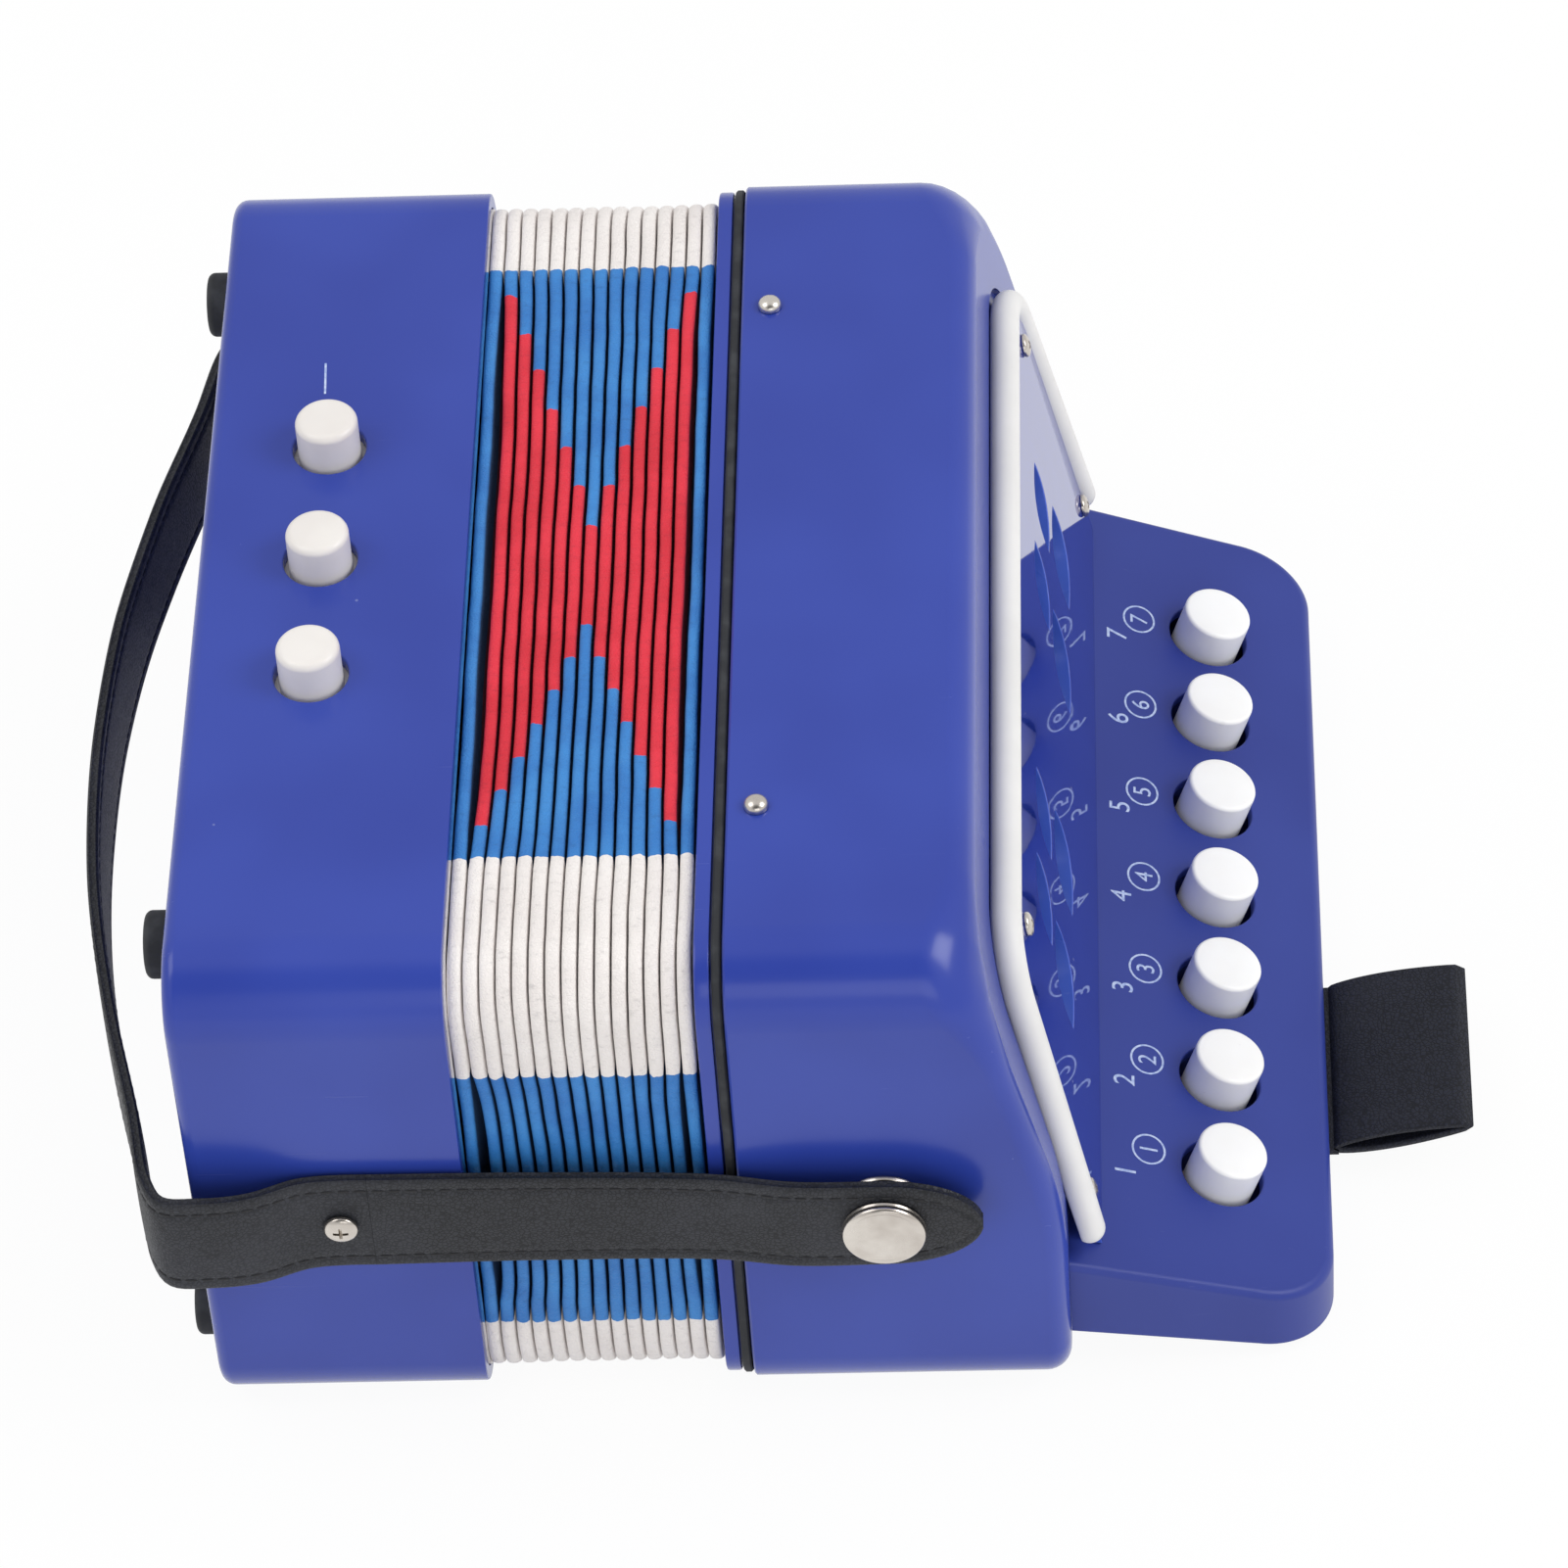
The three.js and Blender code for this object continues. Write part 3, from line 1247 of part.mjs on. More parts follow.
// The thumb loop: a flattened leather loop whose tab is held in the keyboard's end wall.
function thumbLoop() {
  const low = loopCentre - loopWidth / 2;
  const high = loopCentre + loopWidth / 2;
  const start = clearance;
  const end = loopReach;
  const half = loopGap / 2;
  const lens = (grow) => {
    const shape = new THREE.Shape();
    const from = start + loopLeather - grow;
    const to = end - loopLeather + grow;
    const mid = (from + to) / 2;
    shape.moveTo(from, 0);
    shape.quadraticCurveTo(from + (mid - from) * 0.3, -half - grow, mid, -half - grow);
    shape.quadraticCurveTo(to, -half - grow, to, 0);
    shape.quadraticCurveTo(to, half + grow, mid, half + grow);
    shape.quadraticCurveTo(from + (mid - from) * 0.3, half + grow, from, 0);
    return shape;
  };
  let loop = drawnAcross(lens(loopLeather), low, high).subtract(
    drawnAcross(lens(0), low - overrun, high + overrun));
  const lift = new THREE.Matrix4().makeRotationY(-loopTilt * degree);
  loop = placed(loop, lift);
  const tab = block(-keyboardWall - clearance - loopTabLength / 2, start + loopLeather * 1.5, low, high,
    -loopLeather, loopLeather * 0.6);
  const knob = block(-keyboardWall - clearance - loopTabLength, -keyboardWall - clearance,
    low, high, -loopLeather, loopLeather + loopKnob);
  loop = loop.add(tab).add(knob);
  return loop.translate(keyboardEnd, 0, loopHeight);
}

// Materials
const finish = (color, roughness, metalness = 0) => new THREE.MeshStandardMaterial({
  color, roughness, metalness,
});
const blue = finish(0x3c4da6, 0.2);
const deckBlue = finish(0x404e9b, 0.35);
const plateBlue = finish(0x2b3f9e, 0.06);
const white = finish(0xf2f0ec, 0.25);
const black = finish(0x2c2e33, 0.6);
const leather = finish(0x37383e, 0.75);
const cloth = finish(0x3a82c8, 0.55);
const nickel = finish(0xd5cdc6, 0.22, 1);
const silver = finish(0xbfc2c6, 0.35, 1);
const brass = finish(0xc9a552, 0.35, 1);
const wood = finish(0xc59a63, 0.7);
const steel = finish(0x9a9da2, 0.3, 1);

const instrument = new THREE.Group();
const treble = new THREE.Group();
const bass = new THREE.Group();
instrument.add(treble, bass);

function piece(group, name, geometry, material, side = 1) {
  const shape = geometry.isBufferGeometry ? geometry : geometryOf(geometry);
  const mesh = new THREE.Mesh(shape, material);
  mesh.name = name;
  mesh.scale.y = side;
  group.add(mesh);
}

// Treble side
piece(treble, "treble_casing", trebleCasing(), blue);
piece(treble, "treble_frame_plate", framePlate(), blue);
piece(treble, "treble_gasket", gasket(), black);
piece(treble, "bellows", bellows(), cloth);
piece(treble, "grille_plate", grillePlate(), plateBlue);
piece(treble, "grille_mesh", grilleMesh(), silver);
piece(treble, "grille_trim", grilleTrim(), white);
plateScrewPlaces().forEach((place, index) => {
  piece(treble, `grille_screw_${index + 1}`, grilleScrew(place), nickel);
});
[...pinPlaces(1), ...pinPlaces(-1)].forEach((place, index) => {
  piece(treble, `casing_pin_${index + 1}`, casingPin(place), nickel);
});
piece(treble, "keyboard_housing", keyboardHousing(), deckBlue);
piece(treble, "keyboard_cover", keyboardCover(), deckBlue);
piece(treble, "key_axle", keyAxleRod(), steel);
piece(treble, "key_spring_comb", keySpringComb(), steel);
keys.forEach((key) => {
  piece(treble, `treble_button_${key + 1}`, trebleButton(key), white);
  piece(treble, `key_lever_${key + 1}`, keyLever(key), wood);
});
piece(treble, "treble_sound_board", soundboard(soundboardX, keyRows), wood);
piece(treble, "treble_reed_plate", reedPlate(soundboardX - clearance, keyRows, -1), brass);
piece(treble, "thumb_loop", thumbLoop(), leather);
piece(treble, "snap_base_near", snapBase(), nickel);
piece(treble, "snap_base_far", snapBase(), nickel, -1);

// Bass side
piece(bass, "bass_casing", bassCasing(), blue);
piece(bass, "bass_axle", bassAxleRod(), steel);
piece(bass, "bass_spring_comb", bassSpringComb(), steel);
basses.forEach((button) => {
  piece(bass, `bass_button_${button + 1}`, bassButton(button), white);
  piece(bass, `bass_lever_${button + 1}`, bassLever(button), wood);
});
piece(bass, "bass_sound_board", soundboard(bassSoundboardX, bassRows), wood);
piece(bass, "bass_reed_plate",
  reedPlate(bassSoundboardX + soundboardThickness + clearance, bassRows, 1), brass);
footPlaces().forEach((place, index) => {
  piece(bass, `foot_${index + 1}`, foot(place), black);
});
piece(bass, "hand_strap", handStrap(), leather);
piece(bass, "strap_screw_near", strapScrew(), nickel);
piece(bass, "strap_screw_far", strapScrew(), nickel, -1);
piece(bass, "closing_strap_near", closingStrap(), leather);
piece(bass, "closing_strap_far", closingStrap(), leather, -1);
piece(bass, "snap_cap_near", snapCap(), nickel);
piece(bass, "snap_cap_far", snapCap(), nickel, -1);

// The frame's origin is under the middle of everything, on the floor.
const extent = new THREE.Box3().setFromObject(instrument);
instrument.position.x = -(extent.min.x + extent.max.x) / 2;

export default instrument;
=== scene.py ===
"""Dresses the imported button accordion: casings, bellows, grille, buttons, straps, finishes."""

import math

import bmesh
import bpy
from mathutils import Matrix, Vector


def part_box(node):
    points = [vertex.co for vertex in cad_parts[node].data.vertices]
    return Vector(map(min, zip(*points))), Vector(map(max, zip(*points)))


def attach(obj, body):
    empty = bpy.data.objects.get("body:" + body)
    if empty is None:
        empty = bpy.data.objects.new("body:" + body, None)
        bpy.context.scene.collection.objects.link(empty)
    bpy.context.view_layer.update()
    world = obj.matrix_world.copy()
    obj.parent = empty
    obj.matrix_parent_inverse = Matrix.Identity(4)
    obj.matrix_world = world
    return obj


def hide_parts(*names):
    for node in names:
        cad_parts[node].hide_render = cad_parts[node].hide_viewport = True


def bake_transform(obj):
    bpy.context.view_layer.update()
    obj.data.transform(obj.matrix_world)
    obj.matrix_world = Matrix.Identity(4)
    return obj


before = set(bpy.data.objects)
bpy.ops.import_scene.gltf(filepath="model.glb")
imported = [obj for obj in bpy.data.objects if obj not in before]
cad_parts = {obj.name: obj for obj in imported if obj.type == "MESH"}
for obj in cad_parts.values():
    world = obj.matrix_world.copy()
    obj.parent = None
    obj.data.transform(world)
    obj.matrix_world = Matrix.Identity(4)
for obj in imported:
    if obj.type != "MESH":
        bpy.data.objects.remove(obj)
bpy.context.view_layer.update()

MM = 0.001

# Flat areas larger than this, in square metres, are shaded quite flat.
LARGE_AREA = 0.0006

# Sizes of the instrument in millimetres, with X counted from the end face of the bass casing.
BODY_HALF = 90
BODY_DEPTH = 99
BODY_CORNER = 11.5
WALL = 2.2
GAP = 0.3
BASS_LENGTH = 42
BELLOWS_START = 42.3
BELLOWS_END = 78.9
BELLOWS_INSET = 2.2
FOLDS = 15
PLATE_START = 79.2
GASKET_START = 81.9
TREBLE_START = 83.6
TREBLE_FRONT = 120.1
TREBLE_WALL = 133.05
GRILLE_TILT = math.radians(12.8)
KNEE_HEIGHT = 42
KNEE_RADIUS = 90
TREBLE_SIDE = 3.5
TREBLE_FOOT = 4.5
TREBLE_LIP = 3.6
TREBLE_CORNER = 9
CORNER_FADE = 12
GRILLE_LENGTH = 76.03
PLATE_FOOT = 76.99
PLATE_DEPTH = 0.7
PLATE_RISE = 1
PLATE_TAPER = math.radians(2.1)
TRIM_RADIUS = 2.4
TRIM_TOP = 14.85
TRIM_HALF = 73.8
TRIM_SPLAY = math.radians(6.6)
TRIM_BEND = 10.6
TRIM_FOOT = 73.4
TRIM_RISE = 1.84
TRIM_LEAN = math.tan(math.radians(1.3))
POCKET_MARGIN = 0.65
WINDOW = (30.03, 66.15, -66, 66, 7)
KEYBOARD_START = 133.35
KEYBOARD_END = 174.15
KEYBOARD_HALF = 84
DECK_HEIGHT = 24.86
DECK_TILT = math.radians(18)
DECK_SLOPE = math.tan(DECK_TILT)
KEY_ROW = 25
KEY_PITCH = 19.6
KEY_HOLE = 6.7
BASS_ROW = 19.2
BASS_PITCH = 24.8
BASS_HOLE = 5.8
PIN_ROW = 88.1
PIN_SIDE = 54.6
PIN_RADIUS = 1.1
PIN_SUNK = 1.4
BACK_BORE = 2.2
SLOT_HALF = 63.3
LOOP_MIDDLE = -28.5
LOOP_HALF = 17
STRAP_HEIGHT = 48.3
STRAP_WIDTH = 19.8
STRAP_THICK = 2.2
STITCH_INSET = 2.3
STITCH_PITCH = 2.5
STITCH_LENGTH = 1.9
STITCH_WIDTH = 0.5
STRAP_SCREW = 23
STRAP_CUT = 27.6
SNAP = 105.6
SNAP_REACH = 15
SNAP_LEVEL = 94.0

UP = Vector((0, 0, 1))
SIDES = ((-1, "near"), (1, "far"))

# The end face of the bass casing, where the millimetres above start.
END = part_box("bass_casing")[0][0]


def at(x, y, z):
    """A point of the instrument, given in millimetres from the bass end."""
    return Vector((END + x * MM, y * MM, z * MM))


# Shader and geometry trees


def operator(operation, swapped=False):
    """A method that writes one Math node. Swapped, it is the reflected form, as in 1 - mask."""
    def method(self, *values):
        return self.maths(operation, *values, self) if swapped else self.maths(
            operation, self, *values)
    return method


class Socket:
    """One output of a tree. Sums and products written on it add the Math nodes for them."""

    def __init__(self, sheet, link):
        self.sheet = sheet
        self.link = link

    def __getitem__(self, name):
        """Another output of the same node."""
        return Socket(self.sheet, self.link.node.outputs[name])

    def maths(self, operation, *values):
        return self.sheet.node("ShaderNodeMath", {"operation": operation}, dict(enumerate(values)))

    __add__, __radd__ = operator("ADD"), operator("ADD", True)
    __sub__, __rsub__ = operator("SUBTRACT"), operator("SUBTRACT", True)
    __mul__, __rmul__ = operator("MULTIPLY"), operator("MULTIPLY", True)
    __truediv__, __pow__ = operator("DIVIDE"), operator("POWER")
    __gt__, __lt__ = operator("GREATER_THAN"), operator("LESS_THAN")
    __abs__, floor, round = operator("ABSOLUTE"), operator("FLOOR"), operator("ROUND")
    part, root = operator("FRACT"), operator("SQRT")
    least, most = operator("MINIMUM"), operator("MAXIMUM")

    def soft(self, low, high):
        """0 below low, 1 above high, smooth between them. low may be the greater one."""
        settings = {"interpolation_type": "SMOOTHSTEP", "clamp": True}
        return self.sheet.node("ShaderNodeMapRange", settings, {
            "Value": self, "From Min": low, "From Max": high, "To Min": 0.0, "To Max": 1.0})


class Sheet:
    """A node tree that is written as expressions."""

    def __init__(self, tree):
        self.tree = tree

    def node(self, kind, settings=None, sockets=None, out=0):
        made = self.tree.nodes.new(kind)
        for key, value in (settings or {}).items():
            setattr(made, key, value)
        for key, value in (sockets or {}).items():
            if isinstance(value, Socket):
                self.tree.links.new(value.link, made.inputs[key])
            else:
                made.inputs[key].default_value = value
        return Socket(self, made.outputs[out]) if made.outputs else None

    def axes(self, vector):
        x = self.node("ShaderNodeSeparateXYZ", {}, {0: vector})
        return x, x["Y"], x["Z"]

    def xyz(self, x=0.0, y=0.0, z=0.0):
        return self.node("ShaderNodeCombineXYZ", {}, {0: x, 1: y, 2: z})

    def stretched(self, vector, scale, turn=(0, 0, 0)):
        return self.node("ShaderNodeMapping", {}, {
            "Vector": vector, "Scale": scale, "Rotation": turn})

    def cloud(self, vector, scale, detail=3.0, roughness=0.55):
        return self.node("ShaderNodeTexNoise", {}, {
            "Vector": vector, "Scale": scale, "Detail": detail, "Roughness": roughness}, "Fac")

    def cells(self, vector, scale, feature="F1", out="Distance"):
        return self.node("ShaderNodeTexVoronoi", {"feature": feature}, {
            "Vector": vector, "Scale": scale}, out)

    def colour_mix(self, share, low, high):
        return self.node("ShaderNodeMix", {"data_type": "RGBA"}, {0: share, 6: low, 7: high}, 2)

    def toned(self, tone, dark, light, low=0.3, high=0.7):
        """Runs from one screen colour to another as tone rises from low to high."""
        return self.colour_mix(tone.soft(low, high), tint(*dark), tint(*light))

    def marked(self, base, share, colour):
        """Shows a screen colour over base."""
        return self.colour_mix(share, base, tint(*colour))

    def bump(self, height, distance, strength=1.0, over=None):
        sockets = {"Height": height, "Distance": distance, "Strength": strength}
        if over is not None:
            sockets["Normal"] = over
        return self.node("ShaderNodeBump", {}, sockets)

    def attribute(self, name):
        return self.node("ShaderNodeAttribute", {"attribute_name": name}, out="Fac")


def tint(red, green, blue):
    """A colour given as it looks on a screen, 0 to 255."""
    linear = []
    for value in (red, green, blue):
        share = value / 255
        linear.append(share / 12.92 if share <= 0.04045 else ((share + 0.055) / 1.055) ** 2.4)
    return (*linear, 1.0)


def emptied(owner):
    """The sheet of a material's or world's tree, with no node on it yet."""
    owner.use_nodes = True
    owner.node_tree.nodes.clear()
    return Sheet(owner.node_tree)


def finish(name, rule, *looks, **constants):
    """A material: constants sit on its shader's own sockets, and rule adds what varies."""
    material = bpy.data.materials.new(name)
    sheet = emptied(material)
    sockets = {key.replace("_", " "): value for key, value in constants.items()}
    sockets.update(rule(sheet, sheet.node("ShaderNodeTexCoord", out="Object"), *looks))
    shader = sheet.node("ShaderNodeBsdfPrincipled", {}, sockets)
    sheet.node("ShaderNodeOutputMaterial", {}, {"Surface": shader})
    return material


def hairlines(sheet, place, turn):
    """Sparse thin scratches that run one way."""
    long_way = sheet.stretched(place, (30, 1400, 1400), turn)
    return sheet.cloud(long_way, 1.0, 2.0).soft(0.70, 0.78)


def lint(sheet, place, scale=160.0, size=0.05):
    """Sparse pale specks of dust, a few tenths of a millimetre wide."""
    distance = sheet.cells(place, scale)
    wanted = sheet.axes(sheet.cells(place, scale, out="Color"))[0] > 0.92
    return (1 - distance.soft(size * 0.5, size)) * wanted


def plastic_rule(sheet, place, dark, light, dust, gloss):
    """Glossy coloured plastic: slow tone changes, fine ripple of the mould, dust and scratches."""
    tone = sheet.cloud(place, 22.0, 2.0)
    dirt = lint(sheet, place)
    scratch = hairlines(sheet, place, (0.3, 0.2, 0.9))
    scratch = scratch * sheet.cloud(place, 40.0).soft(0.5, 0.62)
    base = sheet.toned(tone, dark, light)
    base = sheet.marked(sheet.marked(base, dirt * 0.3, dust), scratch * 0.05, dust)
    ripple = sheet.cloud(place, 260.0, 2.0)
    grain = sheet.cloud(place, 2600.0, 2.0)
    normal = sheet.bump(ripple, 0.00003, 0.25)
    normal = sheet.bump(grain, 0.000004, 0.5, normal)
    return {
        "Base Color": base,
        "Roughness": gloss + tone * 0.05 + scratch * 0.15 + dirt * 0.3,
        "Normal": normal,
    }


def mirror_rule(sheet, place):
    """The lacquered grille plate: almost a mirror, with faint wipe marks."""
    wipe = sheet.cloud(sheet.stretched(place, (30, 160, 30), (0.2, 0.1, 0.5)), 1.0, 4.0)
    dirt = lint(sheet, place, 150.0, 0.06)
    base = sheet.toned(wipe, (36, 54, 150), (40, 59, 156), 0.35)
    return {
        "Base Color": sheet.marked(base, dirt * 0.35, (225, 228, 240)),
        "Roughness": 0.03 + wipe.soft(0.5, 0.75) * 0.03 + dirt * 0.4,
        "Metallic": 0.15 - dirt * 0.15,
        "Normal": sheet.bump(sheet.cloud(place, 45.0, 1.0), 0.00005, 0.2),
    }


def white_rule(sheet, place, dark, light, gloss=0.24):
    """White plastic with faint scuffs."""
    tone = sheet.cloud(place, 60.0, 3.0)
    scuff = hairlines(sheet, place, (0.5, 0.4, 0.1)) * sheet.cloud(place, 90.0).soft(0.48, 0.6)
    base = sheet.toned(tone, dark, light)
    return {
        "Base Color": sheet.marked(base, scuff * 0.18, (190, 186, 180)),
        "Roughness": gloss + tone * 0.1 + scuff * 0.2,
        "Normal": sheet.bump(sheet.cloud(place, 500.0, 2.0), 0.00002, 0.25),
    }


def leather_rule(sheet, place, dark, light, worn):
    """Leatherette: pebbled grain, duller hollows and slightly worn crests."""
    warp = sheet.node("ShaderNodeVectorMath", {"operation": "ADD"}, {
        0: place, 1: sheet.stretched(sheet.node("ShaderNodeTexNoise", {}, {
            "Vector": place, "Scale": 300.0}, "Color"), (0.0012, 0.0012, 0.0012))})
    pebble = sheet.cells(warp, 1500.0, "DISTANCE_TO_EDGE")
    fold = sheet.cloud(place, 420.0, 4.0, 0.6)
    height = pebble.soft(0.0, 0.22) * 0.7 + fold * 0.6
    tone = sheet.cloud(place, 35.0, 3.0)
    base = sheet.toned(height, dark, light, 0.35, 1.1)
    return {
        "Base Color": sheet.marked(base, tone.soft(0.45, 0.75) * worn, (72, 74, 84)),
        "Roughness": 0.62 - height * 0.16 + tone * 0.08,
        "Normal": sheet.bump(height, 0.00012, 0.55),
    }


def rubber_rule(sheet, place):
    """Dull black rubber, a little dusty."""
    grain = sheet.cloud(place, 1800.0, 3.0)
    dusty = sheet.cloud(place, 240.0, 4.0)
    return {
        "Base Color": sheet.toned(dusty, (38, 40, 44), (60, 62, 66), 0.4, 0.75),
        "Roughness": 0.62 + dusty * 0.2,
        "Normal": sheet.bump(grain, 0.00004, 0.5),
    }


def metal_rule(sheet, place, dark, light, low, brushed=(60, 60, 60)):
    """Plated or bare metal, smooth or brushed one way."""
    tone = sheet.cloud(place, 120.0, 3.0)
    brush = sheet.cloud(sheet.stretched(place, brushed), 12.0, 3.0)
    return {
        "Base Color": sheet.toned(tone, dark, light),
        "Roughness": low + brush * 0.16 + tone * 0.06,
        "Normal": sheet.bump(brush, 0.00001, 0.3),
    }


def wood_rule(sheet, place, dark, light):
    """Plain light wood with its grain along Y."""
    ring = sheet.cloud(sheet.stretched(place, (260, 9, 260)), 1.0, 5.0)
    pore = sheet.cloud(sheet.stretched(place, (2200, 60, 2200)), 1.0, 2.0).soft(0.6, 0.7)
    base = sheet.toned(ring, dark, light, 0.35, 0.65)
    return {
        "Base Color": sheet.marked(base, pore * 0.35, (120, 84, 46)),
        "Roughness": 0.6 + ring * 0.2,
        "Normal": sheet.bump(ring - pore * 0.5, 0.00004, 0.4),
    }


def print_rule(sheet, place):
    """Printed ink of the numbers, slightly broken at its edges."""
    worn = sheet.cloud(place, 1500.0, 3.0)
    base = sheet.toned(worn, (156, 176, 224), (196, 210, 240), 0.35, 0.6)
    return {"Base Color": base, "Roughness": 0.42 + worn * 0.15}


def thread_rule(sheet, place):
    """Twisted black thread."""
    twist = sheet.cloud(sheet.stretched(place, (3000, 3000, 900)), 1.0, 2.0)
    base = sheet.colour_mix(twist, tint(20, 20, 23), tint(46, 46, 50))
    return {"Base Color": base, "Roughness": 0.7 + twist * 0.1,
            "Normal": sheet.bump(twist, 0.00005, 0.6)}


def cloth_rule(sheet, place):
    """Bellows cloth: blue folds, a red lozenge across the front and back, and white corners, with
    painted shade on the beads' flanks and in the gaps between the folds.
    """
    y, z = (value / MM for value in sheet.axes(place)[1:])
    fray = (sheet.cloud(place, 420.0, 2.0) - 0.5) * 1.6
    fold = sheet.attribute("fold").round()
    dip = sheet.attribute("dip")
    # The pattern in millimetres: where the white corners start, and how the lozenge widens
    # and shifts from its middle fold.
    white_y, white_z, face_z = 64.4, 28.75, 40.0
    from_middle = abs(fold - 7.0)
    white = (abs(y - 2.6 + fray) > white_y) * (abs(z - 47.25 + fray) > white_z)
    centre = from_middle * 0.9 - 2.4
    reach = from_middle * 7.85 + 10.9
    front = abs(z - BODY_DEPTH / 2) > face_z
    red = (abs(y - centre + fray) < reach) * front * (from_middle < 6.5)
    crease = sheet.cloud(sheet.stretched(place, (500, 900, 900)), 1.0, 4.0, 0.65)
    pebble = sheet.cells(place, 1700.0, "DISTANCE_TO_EDGE").soft(0.0, 0.25)
    tone = sheet.cloud(place, 90.0, 3.0)
    base = sheet.toned(tone, (36, 112, 188), (54, 134, 206))
    cherry = sheet.toned(tone, (208, 26, 48), (228, 42, 64))
    ivory = sheet.toned(tone, (230, 224, 221), (238, 233, 230))
    base = sheet.colour_mix(red, base, cherry)
    base = sheet.colour_mix(white, base, ivory)
    # Painted shade: the cloth is darkened on the flanks of each bead and in the gaps between the
    # folds, more deeply on the blue and red than on the white.
    shaded_side = dip.soft(0.0, 0.05) * 0.4 + dip.soft(0.02, 0.12) * 0.6
    hollow = shaded_side * (1 - white) + dip.soft(0.1, 0.5) * white * 0.75
    base = sheet.marked(base, hollow * 0.86, (12, 16, 34))
    base = sheet.marked(base, crease.soft(0.52, 0.8) * 0.22, (18, 24, 46))
    height = crease * 0.8 + pebble * 0.35
    return {
        "Base Color": base,
        "Roughness": 0.44 + crease * 0.18 + hollow * 0.2,
        "Normal": sheet.bump(height, 0.00025, 0.5),
    }


MOULDED_BLUE = finish("moulded_blue", plastic_rule, (40, 60, 154), (47, 68, 164), (170, 178, 210),
                      0.2, Specular_IOR_Level=0.45)
DECK_BLUE = finish("deck_blue", plastic_rule, (38, 54, 138), (45, 62, 147), (165, 172, 205), 0.38,
                   Specular_IOR_Level=0.4)
# The plate's edges and slot walls take a lighter blue than the plate's own: painted light standing
# for the light that falls into the slots.
SLOT_BLUE_PAINTED_LIGHT = finish("slot_blue", plastic_rule, (62, 90, 190), (74, 104, 206), (170, 178, 210), 0.25)
PLATE_BLUE = finish("plate_blue", mirror_rule, Coat_Weight=0.24, Coat_Roughness=0.02,
                    Specular_IOR_Level=0.3)
TRIM_WHITE = finish("trim_white", white_rule, (222, 221, 220), (229, 228, 227), 0.42,
                    Specular_IOR_Level=0.3)
# The bass caps take a darker, warmer copy of the cap white: partly their warmer tint, partly
# painted shade.
CAP_WHITE, CAP_IVORY_PAINTED_SHADE = (
    finish(name, white_rule, dark, light, Subsurface_Weight=0.08,
           Subsurface_Radius=(0.002, 0.0018, 0.0015))
    for name, dark, light in (("cap_white", (246, 245, 243), (251, 251, 250)),
                              ("cap_ivory", (226, 221, 217), (234, 230, 226))))
LEATHER = finish("black_leather", leather_rule, (19, 21, 26), (38, 40, 47), 0.22,
                 Specular_IOR_Level=0.4)
LOOP_LEATHER = finish("thumb_loop_leather", leather_rule, (16, 18, 27), (31, 34, 47), 0.1,
                      Specular_IOR_Level=0.3)
RUBBER = finish("black_rubber", rubber_rule, Specular_IOR_Level=0.4)
NICKEL, STEEL, BRASS, SILVER = (
    finish(name, metal_rule, *looks, Metallic=1.0)
    for name, *looks in (("nickel", (196, 188, 180), (222, 216, 208), 0.14),
                         ("steel", (140, 143, 148), (168, 170, 174), 0.24, (300, 8, 300)),
                         ("brass", (188, 148, 70), (212, 174, 96), 0.26),
                         ("silver_mesh", (176, 178, 182), (206, 208, 212), 0.26)))
LEVER_WOOD = finish("lever_wood", wood_rule, (176, 132, 80), (205, 164, 108))
BOARD_WOOD = finish("board_wood", wood_rule, (188, 150, 98), (214, 178, 124))
PRINT = finish("number_print", print_rule)
THREAD = finish("stitch_thread", thread_rule)
CLOTH = finish("bellows_cloth", cloth_rule, Specular_IOR_Level=0.45, Coat_Weight=0.08,
               Coat_Roughness=0.3)


# Ways of making pieces


def worked_out(piece):
    """The plain mesh of a piece's curves and modifiers."""
    graph = bpy.context.evaluated_depsgraph_get()
    return bpy.data.meshes.new_from_object(
        piece.evaluated_get(graph), preserve_all_data_layers=True, depsgraph=graph)


def settle(piece):
    """Turns a piece and its modifiers into a plain mesh."""
    mesh = worked_out(piece)
    piece.modifiers.clear()
    piece.data = mesh
    mesh.name = piece.name
    return piece


def link(name, data):
    piece = bpy.data.objects.new(name, data)
    bpy.context.scene.collection.objects.link(piece)
    return piece


def plane_of(face):
    """A key that the faces of one plane share."""
    level = face.normal.dot(face.center) / MM
    return (*(round(value, 3) for value in face.normal), round(level, 1))


def shaded(piece, sharp=35):
    """Smooth shading that stops at sharp edges and stays true on large flat faces."""
    piece.data.shade_smooth()
    piece.data.set_sharp_from_angle(angle=math.radians(sharp))
    modifier = piece.modifiers.new("even", "WEIGHTED_NORMAL")
    modifier.keep_sharp = True
    modifier.weight = 60
    settle(piece)
    normals = [corner.vector.copy() for corner in piece.data.corner_normals]
    areas = {}
    for face in piece.data.polygons:
        areas[plane_of(face)] = areas.get(plane_of(face), 0) + face.area
    for face in piece.data.polygons:
        if areas[plane_of(face)] > LARGE_AREA:
            for corner in face.loop_indices:
                normals[corner] = face.normal.copy()
    piece.data.normals_split_custom_set(normals)
    return piece


def cleaned(mesh, distance):
    """Merges points closer than a distance in metres and turns all faces outwards."""
    work = bmesh.new()
    work.from_mesh(mesh)
    bmesh.ops.remove_doubles(work, verts=work.verts, dist=distance)
    bmesh.ops.recalc_face_normals(work, faces=work.faces)
    work.to_mesh(mesh)
    work.free()
    return mesh


